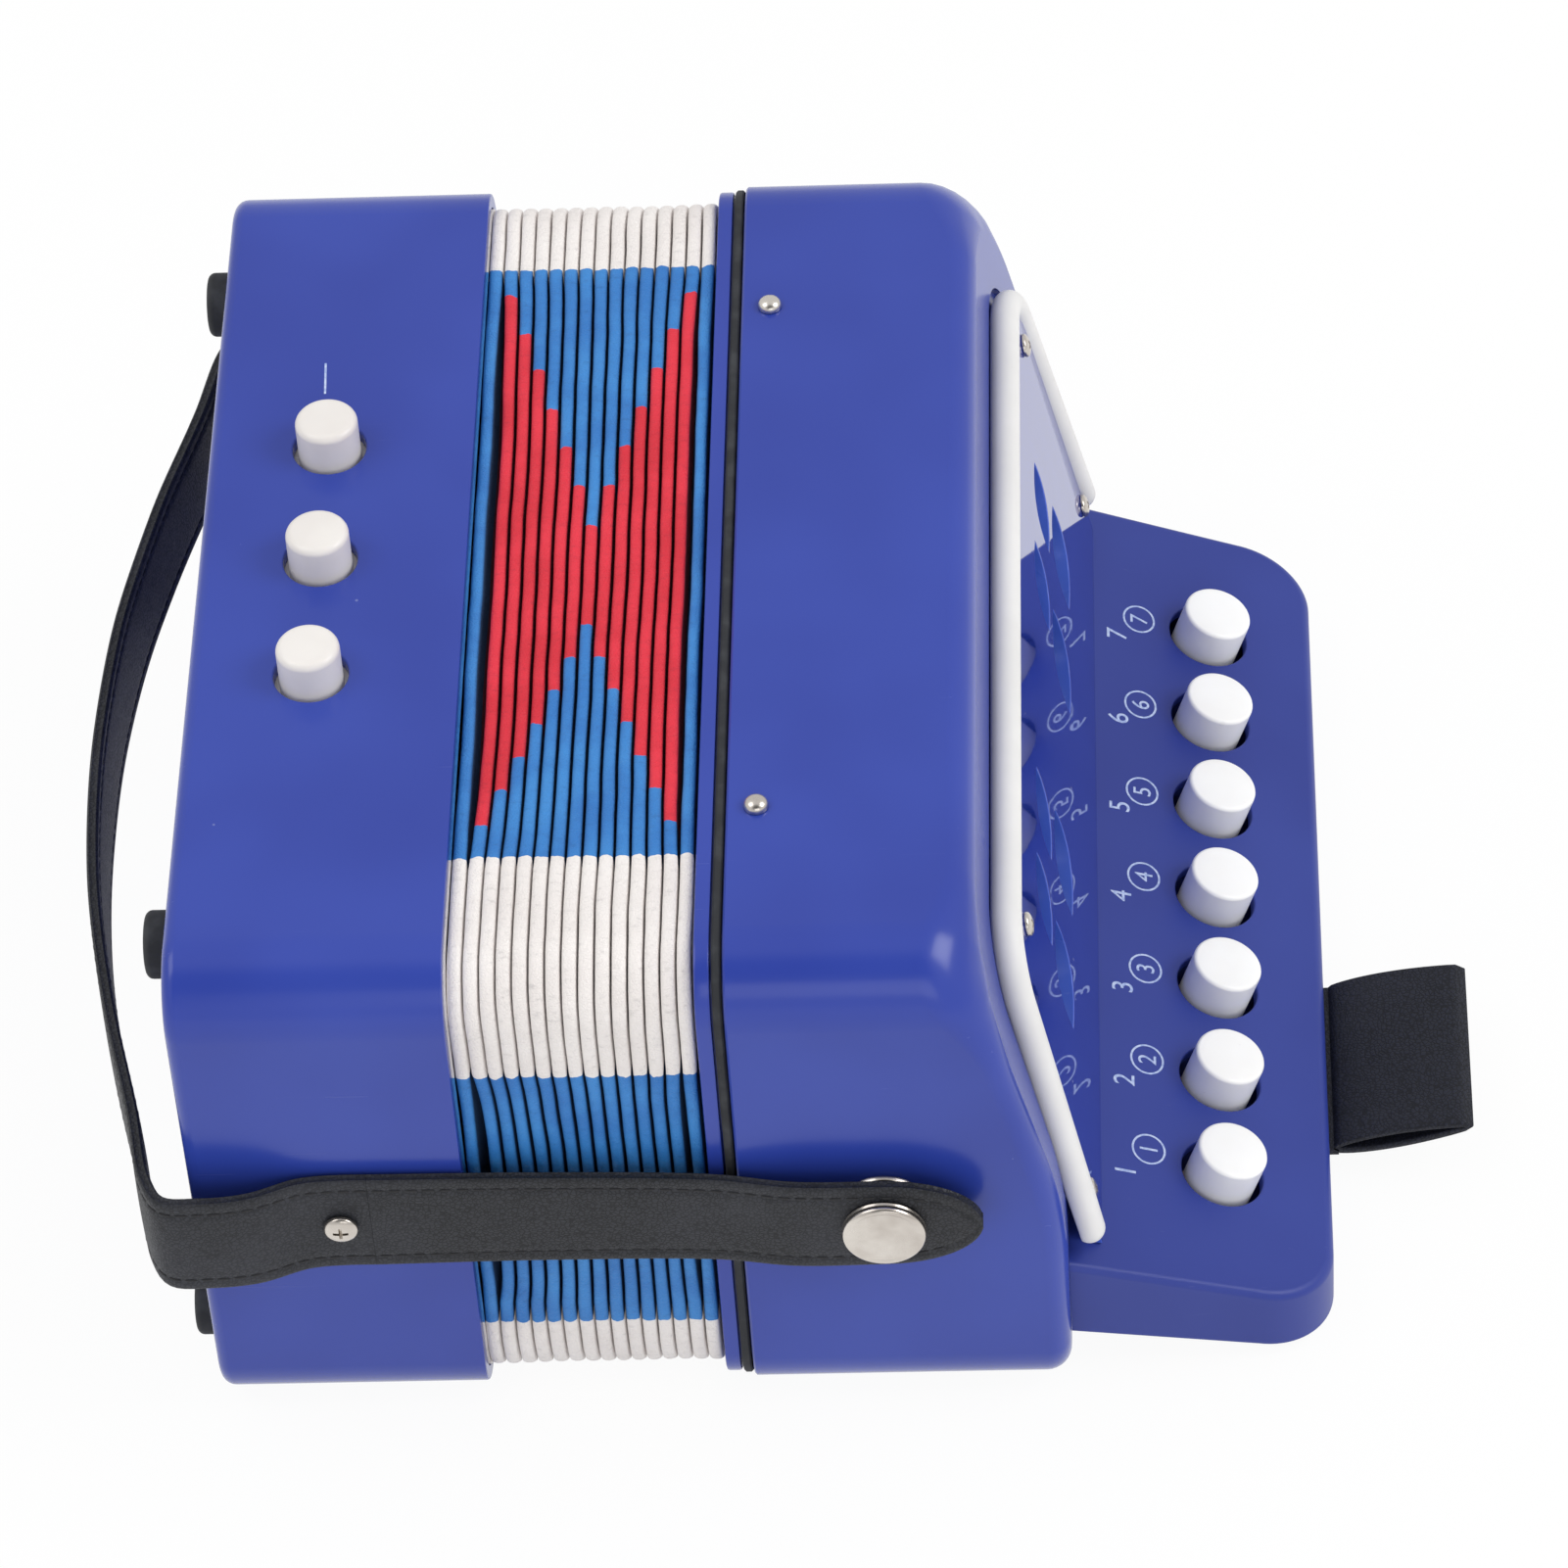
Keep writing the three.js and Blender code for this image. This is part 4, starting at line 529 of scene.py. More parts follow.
def closed(name, points, faces, material):
    """A mesh whose doubles are merged and whose faces point outwards."""
    mesh = bpy.data.meshes.new(name)
    mesh.from_pydata([tuple(point) for point in points], [], faces)
    cleaned(mesh, 1e-7).materials.append(material)
    return link(name, mesh)


def skin(rings, count, around=False):
    """The four-sided faces between rings of count points, from point number 0 on."""
    faces = []
    for ring in range(rings if around else rings - 1):
        start, after = ring * count, (ring + 1) % rings * count
        for i in range(count):
            j = (i + 1) % count
            faces.append((start + i, start + j, after + j, after + i))
    return faces


def loft(name, rings, material, around=False):
    """A skin through rings of equally many points, with two end faces or joined around."""
    count = len(rings[0])
    faces = skin(len(rings), count, around)
    if not around:
        last = (len(rings) - 1) * count
        faces += [tuple(range(count)), tuple(range(last, last + count))]
    return closed(name, [point for ring in rings for point in ring], faces, material)


def arc(centre, radius, start, end, steps):
    """Points on an arc in a plane, with angles in degrees."""
    points = []
    for step in range(steps + 1):
        angle = math.radians(start + (end - start) * step / steps)
        points.append((centre[0] + radius * math.cos(angle), centre[1] + radius * math.sin(angle)))
    return points


def rounded(x0, x1, y0, y1, radius, steps=12):
    """A rectangle with rounded corners."""
    points = []
    corners = ((x1 - radius, y1 - radius), (x0 + radius, y1 - radius),
               (x0 + radius, y0 + radius), (x1 - radius, y0 + radius))
    for turn, centre in enumerate(corners):
        points += arc(centre, radius, turn * 90, turn * 90 + 90, steps)
    return points


def body_ring(x, inset):
    """The rounded outline of the body at one X, drawn in by inset."""
    half, corner = BODY_HALF - inset, max(BODY_CORNER - inset, 0.2)
    return [at(x, y, z) for y, z in rounded(-half, half, inset, BODY_DEPTH - inset, corner, 14)]


def band(name, places, material):
    """A closed band round the body, through pairs of X and the distance in from its outline."""
    return shaded(loft(name, [body_ring(x, inset) for x, inset in places], material, True))


def carved(piece, cutters):
    """Cuts other solids out of a piece."""
    for cutter in cutters:
        modifier = piece.modifiers.new("cut", "BOOLEAN")
        modifier.operation = "DIFFERENCE"
        modifier.solver = "MANIFOLD"
        modifier.object = cutter
    settle(piece)
    for cutter in cutters:
        bpy.data.objects.remove(cutter)
    return piece


def eased(radius, level, out, up, angles=(0.25, 0.5, 0.75, 1.0, 1.25, 1.5)):
    """Points of a profile on an ellipse about a centre given by its radius and height."""
    return [(radius + out * math.cos(a), level + up * math.sin(a)) for a in angles]


def turned(name, profile, place, axis, material, sides=64):
    """A turned piece: pairs of radius and height in millimetres about an axis."""
    turn = UP.rotation_difference(axis).to_matrix()
    rings = []
    for radius, height in profile:
        ring = []
        for side in range(sides):
            angle = side / sides * math.tau
            spot = Vector((radius * math.cos(angle), radius * math.sin(angle), height)) * MM
            ring.append(place + turn @ spot)
        rings.append(ring)
    return loft(name, rings, material)


def mouth(place, axis, radius, depth, flare=0.35):
    """A cutter for a round hole whose edge is slightly rounded over."""
    wide = radius + flare
    profile = [(radius, -depth), (radius, -flare),
               *eased(wide, -flare, -flare, flare, (0.5, 1.0, 1.4)), (wide, 0.0), (wide, 3.0)]
    return turned("mouth", profile, place, axis, MOULDED_BLUE)


def block(x0, x1, y0, y1, z0, z1):
    rings = [[at(x, y, z) for y, z in ((y0, z0), (y1, z0), (y1, z1), (y0, z1))] for x in (x0, x1)]
    return loft("block", rings, MOULDED_BLUE)


def leaning(origin, tilt, upright):
    """The frame of a tilted face: X runs down it, Y across and Z out of it."""
    if upright:
        down = Vector((math.sin(tilt), 0, -math.cos(tilt)))
        out = Vector((math.cos(tilt), 0, math.sin(tilt)))
    else:
        down = Vector((math.cos(tilt), 0, -math.sin(tilt)))
        out = Vector((math.sin(tilt), 0, math.cos(tilt)))
    basis = Matrix((down, Vector((0, 1, 0)), out)).transposed().to_4x4()
    return Matrix.Translation(origin) @ basis


GRILLE = leaning(at(TREBLE_FRONT, 0, BODY_DEPTH), GRILLE_TILT, True)
DECK = leaning(at(KEYBOARD_START, 0, DECK_HEIGHT), DECK_TILT, False)
GRILLE_OUT = GRILLE.to_3x3() @ UP
DECK_OUT = DECK.to_3x3() @ UP


def on(face, along, across, out=0.0):
    return face @ (Vector((along, across, out)) * MM)


# Where the buttons stand: seven on the deck and three on the bass casing.
KEY_PLACES = [on(DECK, KEY_ROW, (key - 3) * KEY_PITCH) for key in range(7)]
BASS_PLACES = [at(BASS_ROW, row * BASS_PITCH, BODY_DEPTH) for row in (-1, 0, 1)]


def grown(name, source, inputs, rule, material):
    """Runs a geometry rule over a piece and keeps the plain mesh that it makes."""
    tree = bpy.data.node_groups.new(name + "_rule", "GeometryNodeTree")
    tree.interface.new_socket("Geometry", in_out="INPUT", socket_type="NodeSocketGeometry")
    identifiers = {}
    for label, value in inputs.items():
        kind = {int: "Int", float: "Float"}.get(type(value), "Object")
        socket = tree.interface.new_socket(label, in_out="INPUT", socket_type="NodeSocket" + kind)
        identifiers[socket.identifier] = value
    tree.interface.new_socket("Geometry", in_out="OUTPUT", socket_type="NodeSocketGeometry")
    sheet = Sheet(tree)
    entry = sheet.node("NodeGroupInput")
    made = rule(sheet, entry)
    made = sheet.node("GeometryNodeRealizeInstances", {}, {"Geometry": made})
    made = sheet.node("GeometryNodeSetMaterial", {}, {"Geometry": made, "Material": material})
    sheet.node("NodeGroupOutput", {}, {"Geometry": made})
    modifier = source.modifiers.new(name, "NODES")
    modifier.node_group = tree
    for identifier, value in identifiers.items():
        modifier[identifier] = value
    return settle(source)


def polyline(name, *lines):
    """Lines of edges that a geometry rule can follow."""
    points, edges = [], []
    for line in lines:
        edges += [(len(points) + i, len(points) + i + 1) for i in range(len(line) - 1)]
        points += line
    mesh = bpy.data.meshes.new(name)
    mesh.from_pydata([tuple(point) for point in points], edges, [])
    return link(name, mesh)


def copies_rule(sheet, entry):
    """The pattern on every point, turned to the point's heading."""
    points = sheet.node("GeometryNodeMeshToPoints", {}, {"Mesh": entry})
    heading = sheet.node("GeometryNodeInputNamedAttribute", {"data_type": "FLOAT_VECTOR"}, {
        "Name": "heading"})
    turn = sheet.node("FunctionNodeAlignRotationToVector", {"axis": "Z"}, {"Vector": heading})
    shape = sheet.node("GeometryNodeObjectInfo", {}, {"Object": entry["Pattern"]}, "Geometry")
    return sheet.node("GeometryNodeInstanceOnPoints", {}, {
        "Points": points, "Instance": shape, "Rotation": turn, "Scale": entry["Size"]})


def copies_at(name, pattern, places, material):
    """Copies of one pattern piece, each with its Z axis along the given direction."""
    source = polyline(name, [place for place, _ in places])
    heading = source.data.attributes.new("heading", "FLOAT_VECTOR", "POINT")
    for item, (_, direction) in zip(heading.data, places):
        item.vector = direction
    piece = grown(name, source, {"Pattern": pattern, "Size": 1.0}, copies_rule, material)
    bpy.data.objects.remove(pattern)
    return piece


def stitch_rule(sheet, entry):
    """A bead of thread at every pitch along the curves."""
    curve = sheet.node("GeometryNodeMeshToCurve", {}, {"Mesh": entry})
    spots = sheet.node("GeometryNodeCurveToPoints", {"mode": "LENGTH"}, {
        "Curve": curve, "Length": entry["Pitch"]})
    bead = sheet.node("GeometryNodeMeshIcoSphere", {}, {"Radius": 0.5, "Subdivisions": 2})
    size = sheet.xyz(entry["Width"], entry["Width"], entry["Length"])
    bead = sheet.node("GeometryNodeTransform", {}, {"Geometry": bead, "Scale": size})
    bead = sheet.node("GeometryNodeSetShadeSmooth", {}, {"Geometry": bead})
    return sheet.node("GeometryNodeInstanceOnPoints", {}, {
        "Points": spots, "Instance": bead, "Rotation": spots["Rotation"]})


def stitches(name, lines):
    """A row of stitches along each line."""
    return grown(name, polyline(name, *lines), {
        "Pitch": STITCH_PITCH * MM, "Length": STITCH_LENGTH * MM, "Width": STITCH_WIDTH * MM},
        stitch_rule, THREAD)


def numbered(name, count):
    return [name + str(i + 1) for i in range(count)]


def stands_for(piece, body, slot, *nodes):
    """A piece rides on a body and hides the plain solids it replaces; the slot it is given is not
    used.
    """
    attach(piece, body)
    if nodes:
        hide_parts(*nodes)
    return piece


# Camera


def camera():
    """The photograph's own view: its place, its direction and the length of its lens."""
    data = bpy.data.cameras.new("camera")
    data.sensor_width = 36
    data.lens = 179.5
    data.shift_x = -0.0016
    data.shift_y = 0.0016
    data.clip_start = 0.05
    data.clip_end = 30
    right = Vector((0.99854, 0.01752253, -0.05109635))
    up = Vector((0.02220641, 0.72913662, 0.6840078))
    forward = Vector((-0.04924176, 0.68414381, -0.72768296))
    view = Matrix((right, up, -forward)).transposed().to_4x4()
    view.translation = at(150.527, -855.273, 954.832)
    piece = link("camera", data)
    piece.matrix_world = view
    bpy.context.scene.camera = piece


# Casings


def bass_casing():
    """The left box: one skin from the end face over the mouth to the inside of the end wall."""
    fillet = 2.2
    rings = []
    for step in range(7):
        angle = step / 6 * math.pi / 2
        rings.append(body_ring(fillet * (1 - math.cos(angle)), fillet * (1 - math.sin(angle))))
    lip = 0.35
    rings.append(body_ring(BASS_LENGTH - lip, 0))
    rings.append(body_ring(BASS_LENGTH - lip * 0.3, lip * 0.3))
    rings.append(body_ring(BASS_LENGTH, lip))
    rings.append(body_ring(BASS_LENGTH, WALL))
    rings.append(body_ring(WALL, WALL))
    piece = loft("bass_casing_shell", rings, MOULDED_BLUE)
    cutters = [mouth(place, UP, BASS_HOLE, 6) for place in BASS_PLACES]
    return stands_for(shaded(carved(piece, cutters)), "bass", "casing_blue", "bass_casing")


def treble_end(z, side_inset):
    """Where the treble casing's right end stands at one height: slope, knee and upright wall."""
    radius = KNEE_RADIUS - side_inset
    rise = z - KNEE_HEIGHT + KNEE_RADIUS * math.tan(GRILLE_TILT / 2)
    if rise <= 0:
        return TREBLE_WALL - side_inset
    if rise < radius * math.sin(GRILLE_TILT):
        return TREBLE_WALL - KNEE_RADIUS + math.sqrt(radius ** 2 - rise ** 2)
    slope = math.tan(GRILLE_TILT)
    return TREBLE_FRONT - side_inset / math.cos(GRILLE_TILT) + (BODY_DEPTH - z) * slope


def edge_radius(radius, distance, inset):
    """The radius of the edge round the right end, which swells at the upper corners."""
    share = min(distance / (BODY_CORNER * math.pi / 4 + CORNER_FADE), 1)
    full = radius + (TREBLE_CORNER - radius) * (1 + math.cos(share * math.pi)) / 2
    return max(full - inset, GAP)


def treble_outline(inset):
    """The outline from the top's middle down the far side: Y, Z, the angle out, the edge radius."""
    corner, half, high = BODY_CORNER - inset, BODY_HALF - inset, BODY_DEPTH - inset
    reach = BODY_CORNER * math.pi / 4
    fade = [CORNER_FADE * step / 10 for step in range(1, 11)]
    knee = KNEE_HEIGHT - KNEE_RADIUS * math.tan(GRILLE_TILT / 2)

    def on_corner(middle, angle, radius):
        return (half - corner + corner * math.cos(angle), middle + corner * math.sin(angle),
                angle, radius)

    places = [(half - corner - away, high, math.pi / 2,
               edge_radius(TREBLE_LIP, reach + away, inset)) for away in reversed(fade)]
    for share in (step / 14 for step in range(15)):
        radius = TREBLE_LIP + (TREBLE_SIDE - TREBLE_LIP) * share
        places.append(on_corner(high - corner, (1 - share) * math.pi / 2,
                                edge_radius(radius, abs(share * 2 - 1) * reach, inset)))
    places += [(half, high - corner - away, 0, edge_radius(TREBLE_SIDE, reach + away, inset))
               for away in fade]
    places += [(half, knee + KNEE_RADIUS * math.sin(step / 12 * GRILLE_TILT), 0,
                TREBLE_SIDE - inset) for step in range(12, -1, -1)]
    for share in (step / 12 for step in range(13)):
        radius = TREBLE_SIDE + (TREBLE_FOOT - TREBLE_SIDE) * share
        places.append(on_corner(inset + corner, -share * math.pi / 2, radius - inset))
    return places


def treble_block(inset, side_inset, start, lip):
    """The treble casing's outer or inner form, up to a right end with rounded edges."""
    far = treble_outline(inset)
    near = [(-y, z, math.pi - angle, radius) for y, z, angle, radius in reversed(far)]
    outline = far + near
    rings = [[at(x, y - drawn * math.cos(angle), z - drawn * math.sin(angle))
              for y, z, angle, _ in outline] for x, drawn in ((start, lip), (start + lip, 0))]
    for step in range(9):
        turn = step / 8 * math.pi / 2
        ring = []
        for y, z, angle, radius in outline:
            drawn, back = radius * (1 - math.cos(turn)), radius * (1 - math.sin(turn))
            height = z - math.sin(angle) * drawn
            reach = treble_end(height, side_inset) - back
            ring.append(at(reach, y - math.cos(angle) * drawn, height))
        rings.append(ring)
    count = len(outline)
    faces = skin(len(rings), count)
    last = (len(rings) - 1) * count
    for i in range(count // 2 - 1):
        for first in (0, last):
            faces.append((first + i, first + i + 1, first + count - 2 - i, first + count - 1 - i))
    return closed("treble_block", [point for ring in rings for point in ring], faces, MOULDED_BLUE)


def face_prism(face, outline, low, high):
    """An outline on a tilted face, raised between two levels."""
    rings = [[on(face, along, across, out) for along, across in outline] for out in (low, high)]
    return loft("prism", rings, MOULDED_BLUE)


def trim_reach(along):
    """Half the trim's width: its legs stand apart at the foot."""
    return TRIM_HALF + (along - TRIM_TOP) * math.tan(TRIM_SPLAY)


def trim_outline(offset, end):
    """The outline beside the trim's centre line, outside it or inside it."""
    centre = TRIM_HALF - TRIM_BEND * math.tan((math.pi / 2 - TRIM_SPLAY) / 2)
    edge = trim_reach(end) + offset / math.cos(TRIM_SPLAY)
    splay = math.degrees(TRIM_SPLAY)
    points = arc((TRIM_TOP + TRIM_BEND, centre), TRIM_BEND + offset, 90 + splay, 180, 16)
    points += arc((TRIM_TOP + TRIM_BEND, -centre), TRIM_BEND + offset, 180, 270 - splay, 16)
    return points + [(end, -edge), (end, edge)]


def treble_casing():
    """The right box, with the pocket of the grille plate and the window behind it."""
    piece = treble_block(0, 0, TREBLE_START, 0.3)
    inner = treble_block(WALL, PLATE_DEPTH + GAP + WALL, TREBLE_START - 1, 0.01)
    pocket = trim_outline(TRIM_RADIUS + POCKET_MARGIN, BODY_DEPTH)
    pocket = face_prism(GRILLE, pocket, -PLATE_DEPTH - GAP, 40)
    window = face_prism(GRILLE, rounded(*WINDOW), -6.5, 0)
    slot = [(-12, -SLOT_HALF), (20, -SLOT_HALF), (20, SLOT_HALF), (-12, SLOT_HALF)]
    slot = face_prism(DECK, slot, -9, -3.4)
    pins = [mouth(at(PIN_ROW, side * PIN_SIDE, level), Vector((0, 0, out)), radius, depth, flare)
            for level, out, radius, depth, flare in (
                (BODY_DEPTH, 1, PIN_RADIUS, 6, 0.1), (0, -1, BACK_BORE, PIN_SUNK, 0.2),
                (PIN_SUNK, -1, PIN_RADIUS, 6, 0.1))
            for side in (-1, 1)]
    piece = carved(piece, [inner, pocket, window, slot, *pins])
    return stands_for(shaded(piece, 30), "treble", "casing_blue", "treble_casing")


def frame_plate():
    """The thin blue plate between bellows and gasket, with its collar inside the casing."""
    start, end, edge = PLATE_START, PLATE_START + 2.4, 0.4
    rim, ease, collar = 0.8, edge * 0.3, 91.0
    piece = band("frame_plate", (
        (start, 7.5), (start, rim + edge), (start + ease, rim + ease), (start + edge, rim),
        (end - edge, rim), (end - ease, rim + ease), (end, rim + edge),
        (end, 2.5), (collar, 2.5), (collar, 7.5)), MOULDED_BLUE)
    return stands_for(piece, "treble", "casing_blue", "treble_frame_plate")


def gasket():
    start, end = GASKET_START, GASKET_START + 1.4
    piece = band("casing_gasket", ((start, 2.1), (start, 0.8), (start + 0.3, 0.5),
                                   (end - 0.3, 0.5), (end, 0.8), (end, 2.1)), RUBBER)
    return stands_for(piece, "treble", "black_rubber", "treble_gasket")


# Bellows


def fold_profile(sheet, entry):
    """The folds' section: a bead on each fold, a deep gap after it, and a flat back."""
    steps = 12
    count = entry["Folds"] * steps
    line = sheet.node("GeometryNodeMeshLine", {"mode": "OFFSET"}, {
        "Count": count + 3, "Offset": (0, 0, 0)})
    index = sheet.node("GeometryNodeInputIndex")
    along = index.least(count) / steps
    phase = along.part()
    from_crest = abs(phase - 0.5) * 2
    bead = 1 - (1 - (from_crest * 0.97) ** 2.4).most(0.0).root()
    dip = bead * entry["Bead"] + from_crest.soft(0.86, 1.0) * entry["Depth"]
    inner = index > count + 0.5
    back = index > count + 1.5
    depth = dip * (1 - inner) + (entry["Depth"] + entry["Skin"]) * inner
    spot = sheet.xyz(depth * -1.0, along * entry["Pitch"] * (1 - back))
    line = sheet.node("GeometryNodeSetPosition", {}, {"Geometry": line, "Position": spot})
    for name, value in (("fold", (along - 0.001).most(0.0).floor()),
                        ("dip", depth / entry["Depth"]),
                        ("lean", (phase - 0.5) * (phase > 0.01))):
        settings = {"data_type": "FLOAT", "domain": "POINT"}
        line = sheet.node("GeometryNodeStoreNamedAttribute", settings, {
            "Geometry": line, "Name": name, "Value": value})
    profile = sheet.node("GeometryNodeMeshToCurve", {}, {"Mesh": line})
    return sheet.node("GeometryNodeSetSplineCyclic", {}, {"Geometry": profile, "Cyclic": True})


def bellows_path(sheet, entry):
    """The rounded frame that the folds run round."""
    path = sheet.node("GeometryNodeCurvePrimitiveQuadrilateral", {}, {
        "Width": entry["Width"], "Height": entry["Height"]})
    path = sheet.node("GeometryNodeFilletCurve", {"mode": "POLY"}, {
        "Curve": path, "Count": 10, "Radius": entry["Corner"]})
    return sheet.node("GeometryNodeResampleCurve", {}, {
        "Curve": path, "Count": entry["Stations"]})


def swaying(sheet, place, entry):
    """A slow unevenness of the folds."""
    sway = sheet.node("ShaderNodeTexNoise", {"noise_dimensions": "4D"}, {
        "Vector": place, "W": entry["Seed"], "Scale": 45.0, "Detail": 2.0}, "Color")
    sway = sheet.node("ShaderNodeVectorMath", {"operation": "SUBTRACT"}, {
        0: sway, 1: (0.5, 0.5, 0.5)})
    return sheet.node("ShaderNodeVectorMath", {"operation": "SCALE"}, {
        0: sway, "Scale": entry["Sway"]})


def bellows_rule(sheet, entry):
    """Sweeps the folded profile round the bellows' rounded frame."""
    place = sheet.node("GeometryNodeInputPosition")
    sleeve = sheet.node("GeometryNodeCurveToMesh", {}, {
        "Curve": bellows_path(sheet, entry), "Profile Curve": fold_profile(sheet, entry)})
    sleeve = sheet.node("GeometryNodeSetPosition", {}, {
        "Geometry": sleeve, "Offset": swaying(sheet, place, entry)})
    sleeve = sheet.node("GeometryNodeSetShadeSmooth", {}, {"Geometry": sleeve})
    sleeve = sheet.node("GeometryNodeTransform", {}, {
        "Geometry": sleeve, "Rotation": (math.pi / 2, 0, math.pi / 2),
        "Translation": at(BELLOWS_END, 0, BODY_DEPTH / 2)})
    return sheet.node("GeometryNodeSetPosition", {}, {
        "Geometry": sleeve, "Offset": sheet.xyz(gathered(sheet, place, entry))})


def gathered(sheet, place, entry):
    """Between the tight corners the folds are thinner, and draw together off the two end folds."""
    fold, lean = (sheet.node("GeometryNodeInputNamedAttribute", {"data_type": "FLOAT"}, {
        "Name": name}, "Attribute") for name in ("fold", "lean"))
    y, z = sheet.axes(place)[1:]
    front = 1 - (abs(y) / (64 * MM)) ** 4
    side = 1 - (abs(z - BODY_DEPTH / 2 * MM) / (27 * MM)) ** 4
    bass_end = ((fold - 4) / 9).most(0.0) * (fold < 13.5)
    treble_end = ((4 - fold) / 3).most(0.0) * (fold > 0.5)
    drawn = bass_end * entry["Bass gap"] - treble_end * entry["Treble gap"]
    return front.most(side).most(0.0) * (drawn + lean * entry["Thin"])


def bellows():
    pitch = (BELLOWS_END - BELLOWS_START) / FOLDS
    piece = grown("bellows_folds", polyline("bellows_folds", [(0, 0, 0)]), {
        "Folds": FOLDS, "Pitch": pitch * MM, "Bead": 0.95 * MM, "Depth": 9.5 * MM,
        "Skin": 0.6 * MM, "Width": (BODY_HALF - BELLOWS_INSET) * 2 * MM,
        "Height": (BODY_DEPTH - BELLOWS_INSET * 2) * MM, "Corner": 10.3 * MM, "Stations": 252,
        "Seed": 4.0, "Sway": 1.1 * MM, "Bass gap": 1.0 * MM, "Treble gap": 0.4 * MM,
        "Thin": 0.28 * MM}, bellows_rule, CLOTH)
    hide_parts("bellows")
    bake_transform(piece)
    start = BELLOWS_START
    collar = band("bellows_collar", ((start - 5, 3.1), (start - 5, 2.5), (start, 2.5),
                                     (start, 3.1)), CLOTH)
    stands_for(collar, "bass", "bellows_cloth")


# Grille


def leaf(along, across, length, width, angle):
    """A leaf shaped slot drawn by two arcs that meet in points."""
    points = []
    for side in (-1, 1):
        for step in range(16):
            share = step / 16
            reach = (share - 0.5) * length * -side
            bulge = 2 * share * (1 - share) * width * side
            points.append((along + reach * math.cos(angle) - bulge * math.sin(angle),
                           across + reach * math.sin(angle) + bulge * math.cos(angle)))
    return points


def sheet_metal(name, outlines, thickness, edge, material):
    """A flat plate with holes: its first outline is the rim, and its edges are eased."""
    curve = bpy.data.curves.new(name, "CURVE")
    curve.dimensions = "2D"
    curve.fill_mode = "BOTH"
    curve.extrude = thickness / 2 * MM - edge * MM
    curve.bevel_depth = edge * MM
    curve.bevel_resolution = 2
    curve.offset = -edge * MM
    for outline in outlines:
        spline = curve.splines.new("POLY")
        spline.points.add(len(outline) - 1)
        spline.use_cyclic_u = True
        for point, (along, across) in zip(spline.points, outline):
            point.co = (along * MM, across * MM, 0, 1)
    shape = link(name + "_outline", curve)
    mesh = cleaned(worked_out(shape), 1e-6)
    bpy.data.objects.remove(shape)
    mesh.materials.clear()
    mesh.materials.append(material)
    mesh.name = name
    return link(name, mesh)


def leaf_slots():
    """Two groups of four slots, wider apart in the lower row."""
    for group in (-33.8, 33.8):
        for along, spread, length, width in ((36.27, 9, 14.5, 11), (51.02, 11.8, 17, 14)):
            for side in (-1, 1):
                yield leaf(along, group + side * spread, length, width, math.radians(-42))


def plate_face(along):
    """The plate's face rises a little from the deck towards the top of the grille."""
    return PLATE_RISE + (GRILLE_LENGTH - along) * math.tan(PLATE_TAPER)


def grille_plate():
    """The mirror plate inside the trim. Its lower edge follows the deck."""
    foot_lean = math.tan(DECK_TILT + GRILLE_TILT)
    thick = PLATE_RISE + PLATE_DEPTH
    outlines = [trim_outline(-TRIM_RADIUS - GAP, PLATE_FOOT), *leaf_slots()]
    piece = sheet_metal("mirror_plate", outlines, thick, 0.22, PLATE_BLUE)
    for vertex in piece.data.vertices:
        along, across, out = vertex.co / MM
        level = out + thick / 2 - PLATE_DEPTH
        if out > 0:
            level += plate_face(along) - PLATE_RISE
        if along > PLATE_FOOT - 1:
            along += foot_lean * level
        vertex.co = on(GRILLE, along, across, level)
    shaded(piece)
    # Edge faces and slot walls get the lighter blue of painted light.
    piece.data.materials.append(SLOT_BLUE_PAINTED_LIGHT)
    for face in piece.data.polygons:
        if abs(face.normal.dot(GRILLE_OUT)) < 0.9:
            face.material_index = 1
    return stands_for(piece, "treble", "plate_blue", "grille_plate")


def wire_layer(sheet, entry, span, reach, turn, level):
    """Wires side by side over one span of the mesh, as long as its other side."""
    pitch, first = entry["Pitch"], entry[span] * -0.5
    height = entry["Wire"] * level * 1.6
    across = span == "Width"
    line = sheet.node("GeometryNodeMeshLine", {"mode": "OFFSET"}, {
        "Count": (entry[span] / pitch).floor() + 1,
        "Start Location": sheet.xyz(y=first, z=height) if across else sheet.xyz(first, z=height),
        "Offset": sheet.xyz(y=pitch) if across else sheet.xyz(pitch)})
    rod = sheet.node("GeometryNodeMeshCylinder", {}, {
        "Vertices": 6, "Radius": entry["Wire"] * 0.5, "Depth": entry[reach]})
    rod = sheet.node("GeometryNodeTransform", {}, {"Geometry": rod, "Rotation": turn})
    return sheet.node("GeometryNodeInstanceOnPoints", {}, {"Points": line, "Instance": rod})


def wire_rule(sheet, entry):
    """Two layers of thin wires that cross."""
    upper = wire_layer(sheet, entry, "Width", "Length", (0, math.pi / 2, 0), 0.5)
    lower = wire_layer(sheet, entry, "Length", "Width", (math.pi / 2, 0, 0), -0.5)
    joined = sheet.node("GeometryNodeJoinGeometry", {}, {"Geometry": upper})
    sheet.tree.links.new(lower.link, joined.link.node.inputs[0])
    return joined


def grille_mesh():
    piece = grown("wire_mesh", polyline("wire_mesh", [(0, 0, 0)]), {
        "Width": 122 * MM, "Length": 35.2 * MM, "Pitch": 1.0 * MM, "Wire": 0.38 * MM},
        wire_rule, SILVER)
    piece.data.transform(GRILLE @ Matrix.Translation(Vector((48.1, 0, -1.35)) * MM))
    return stands_for(piece, "treble", "silver_mesh", "grille_mesh")


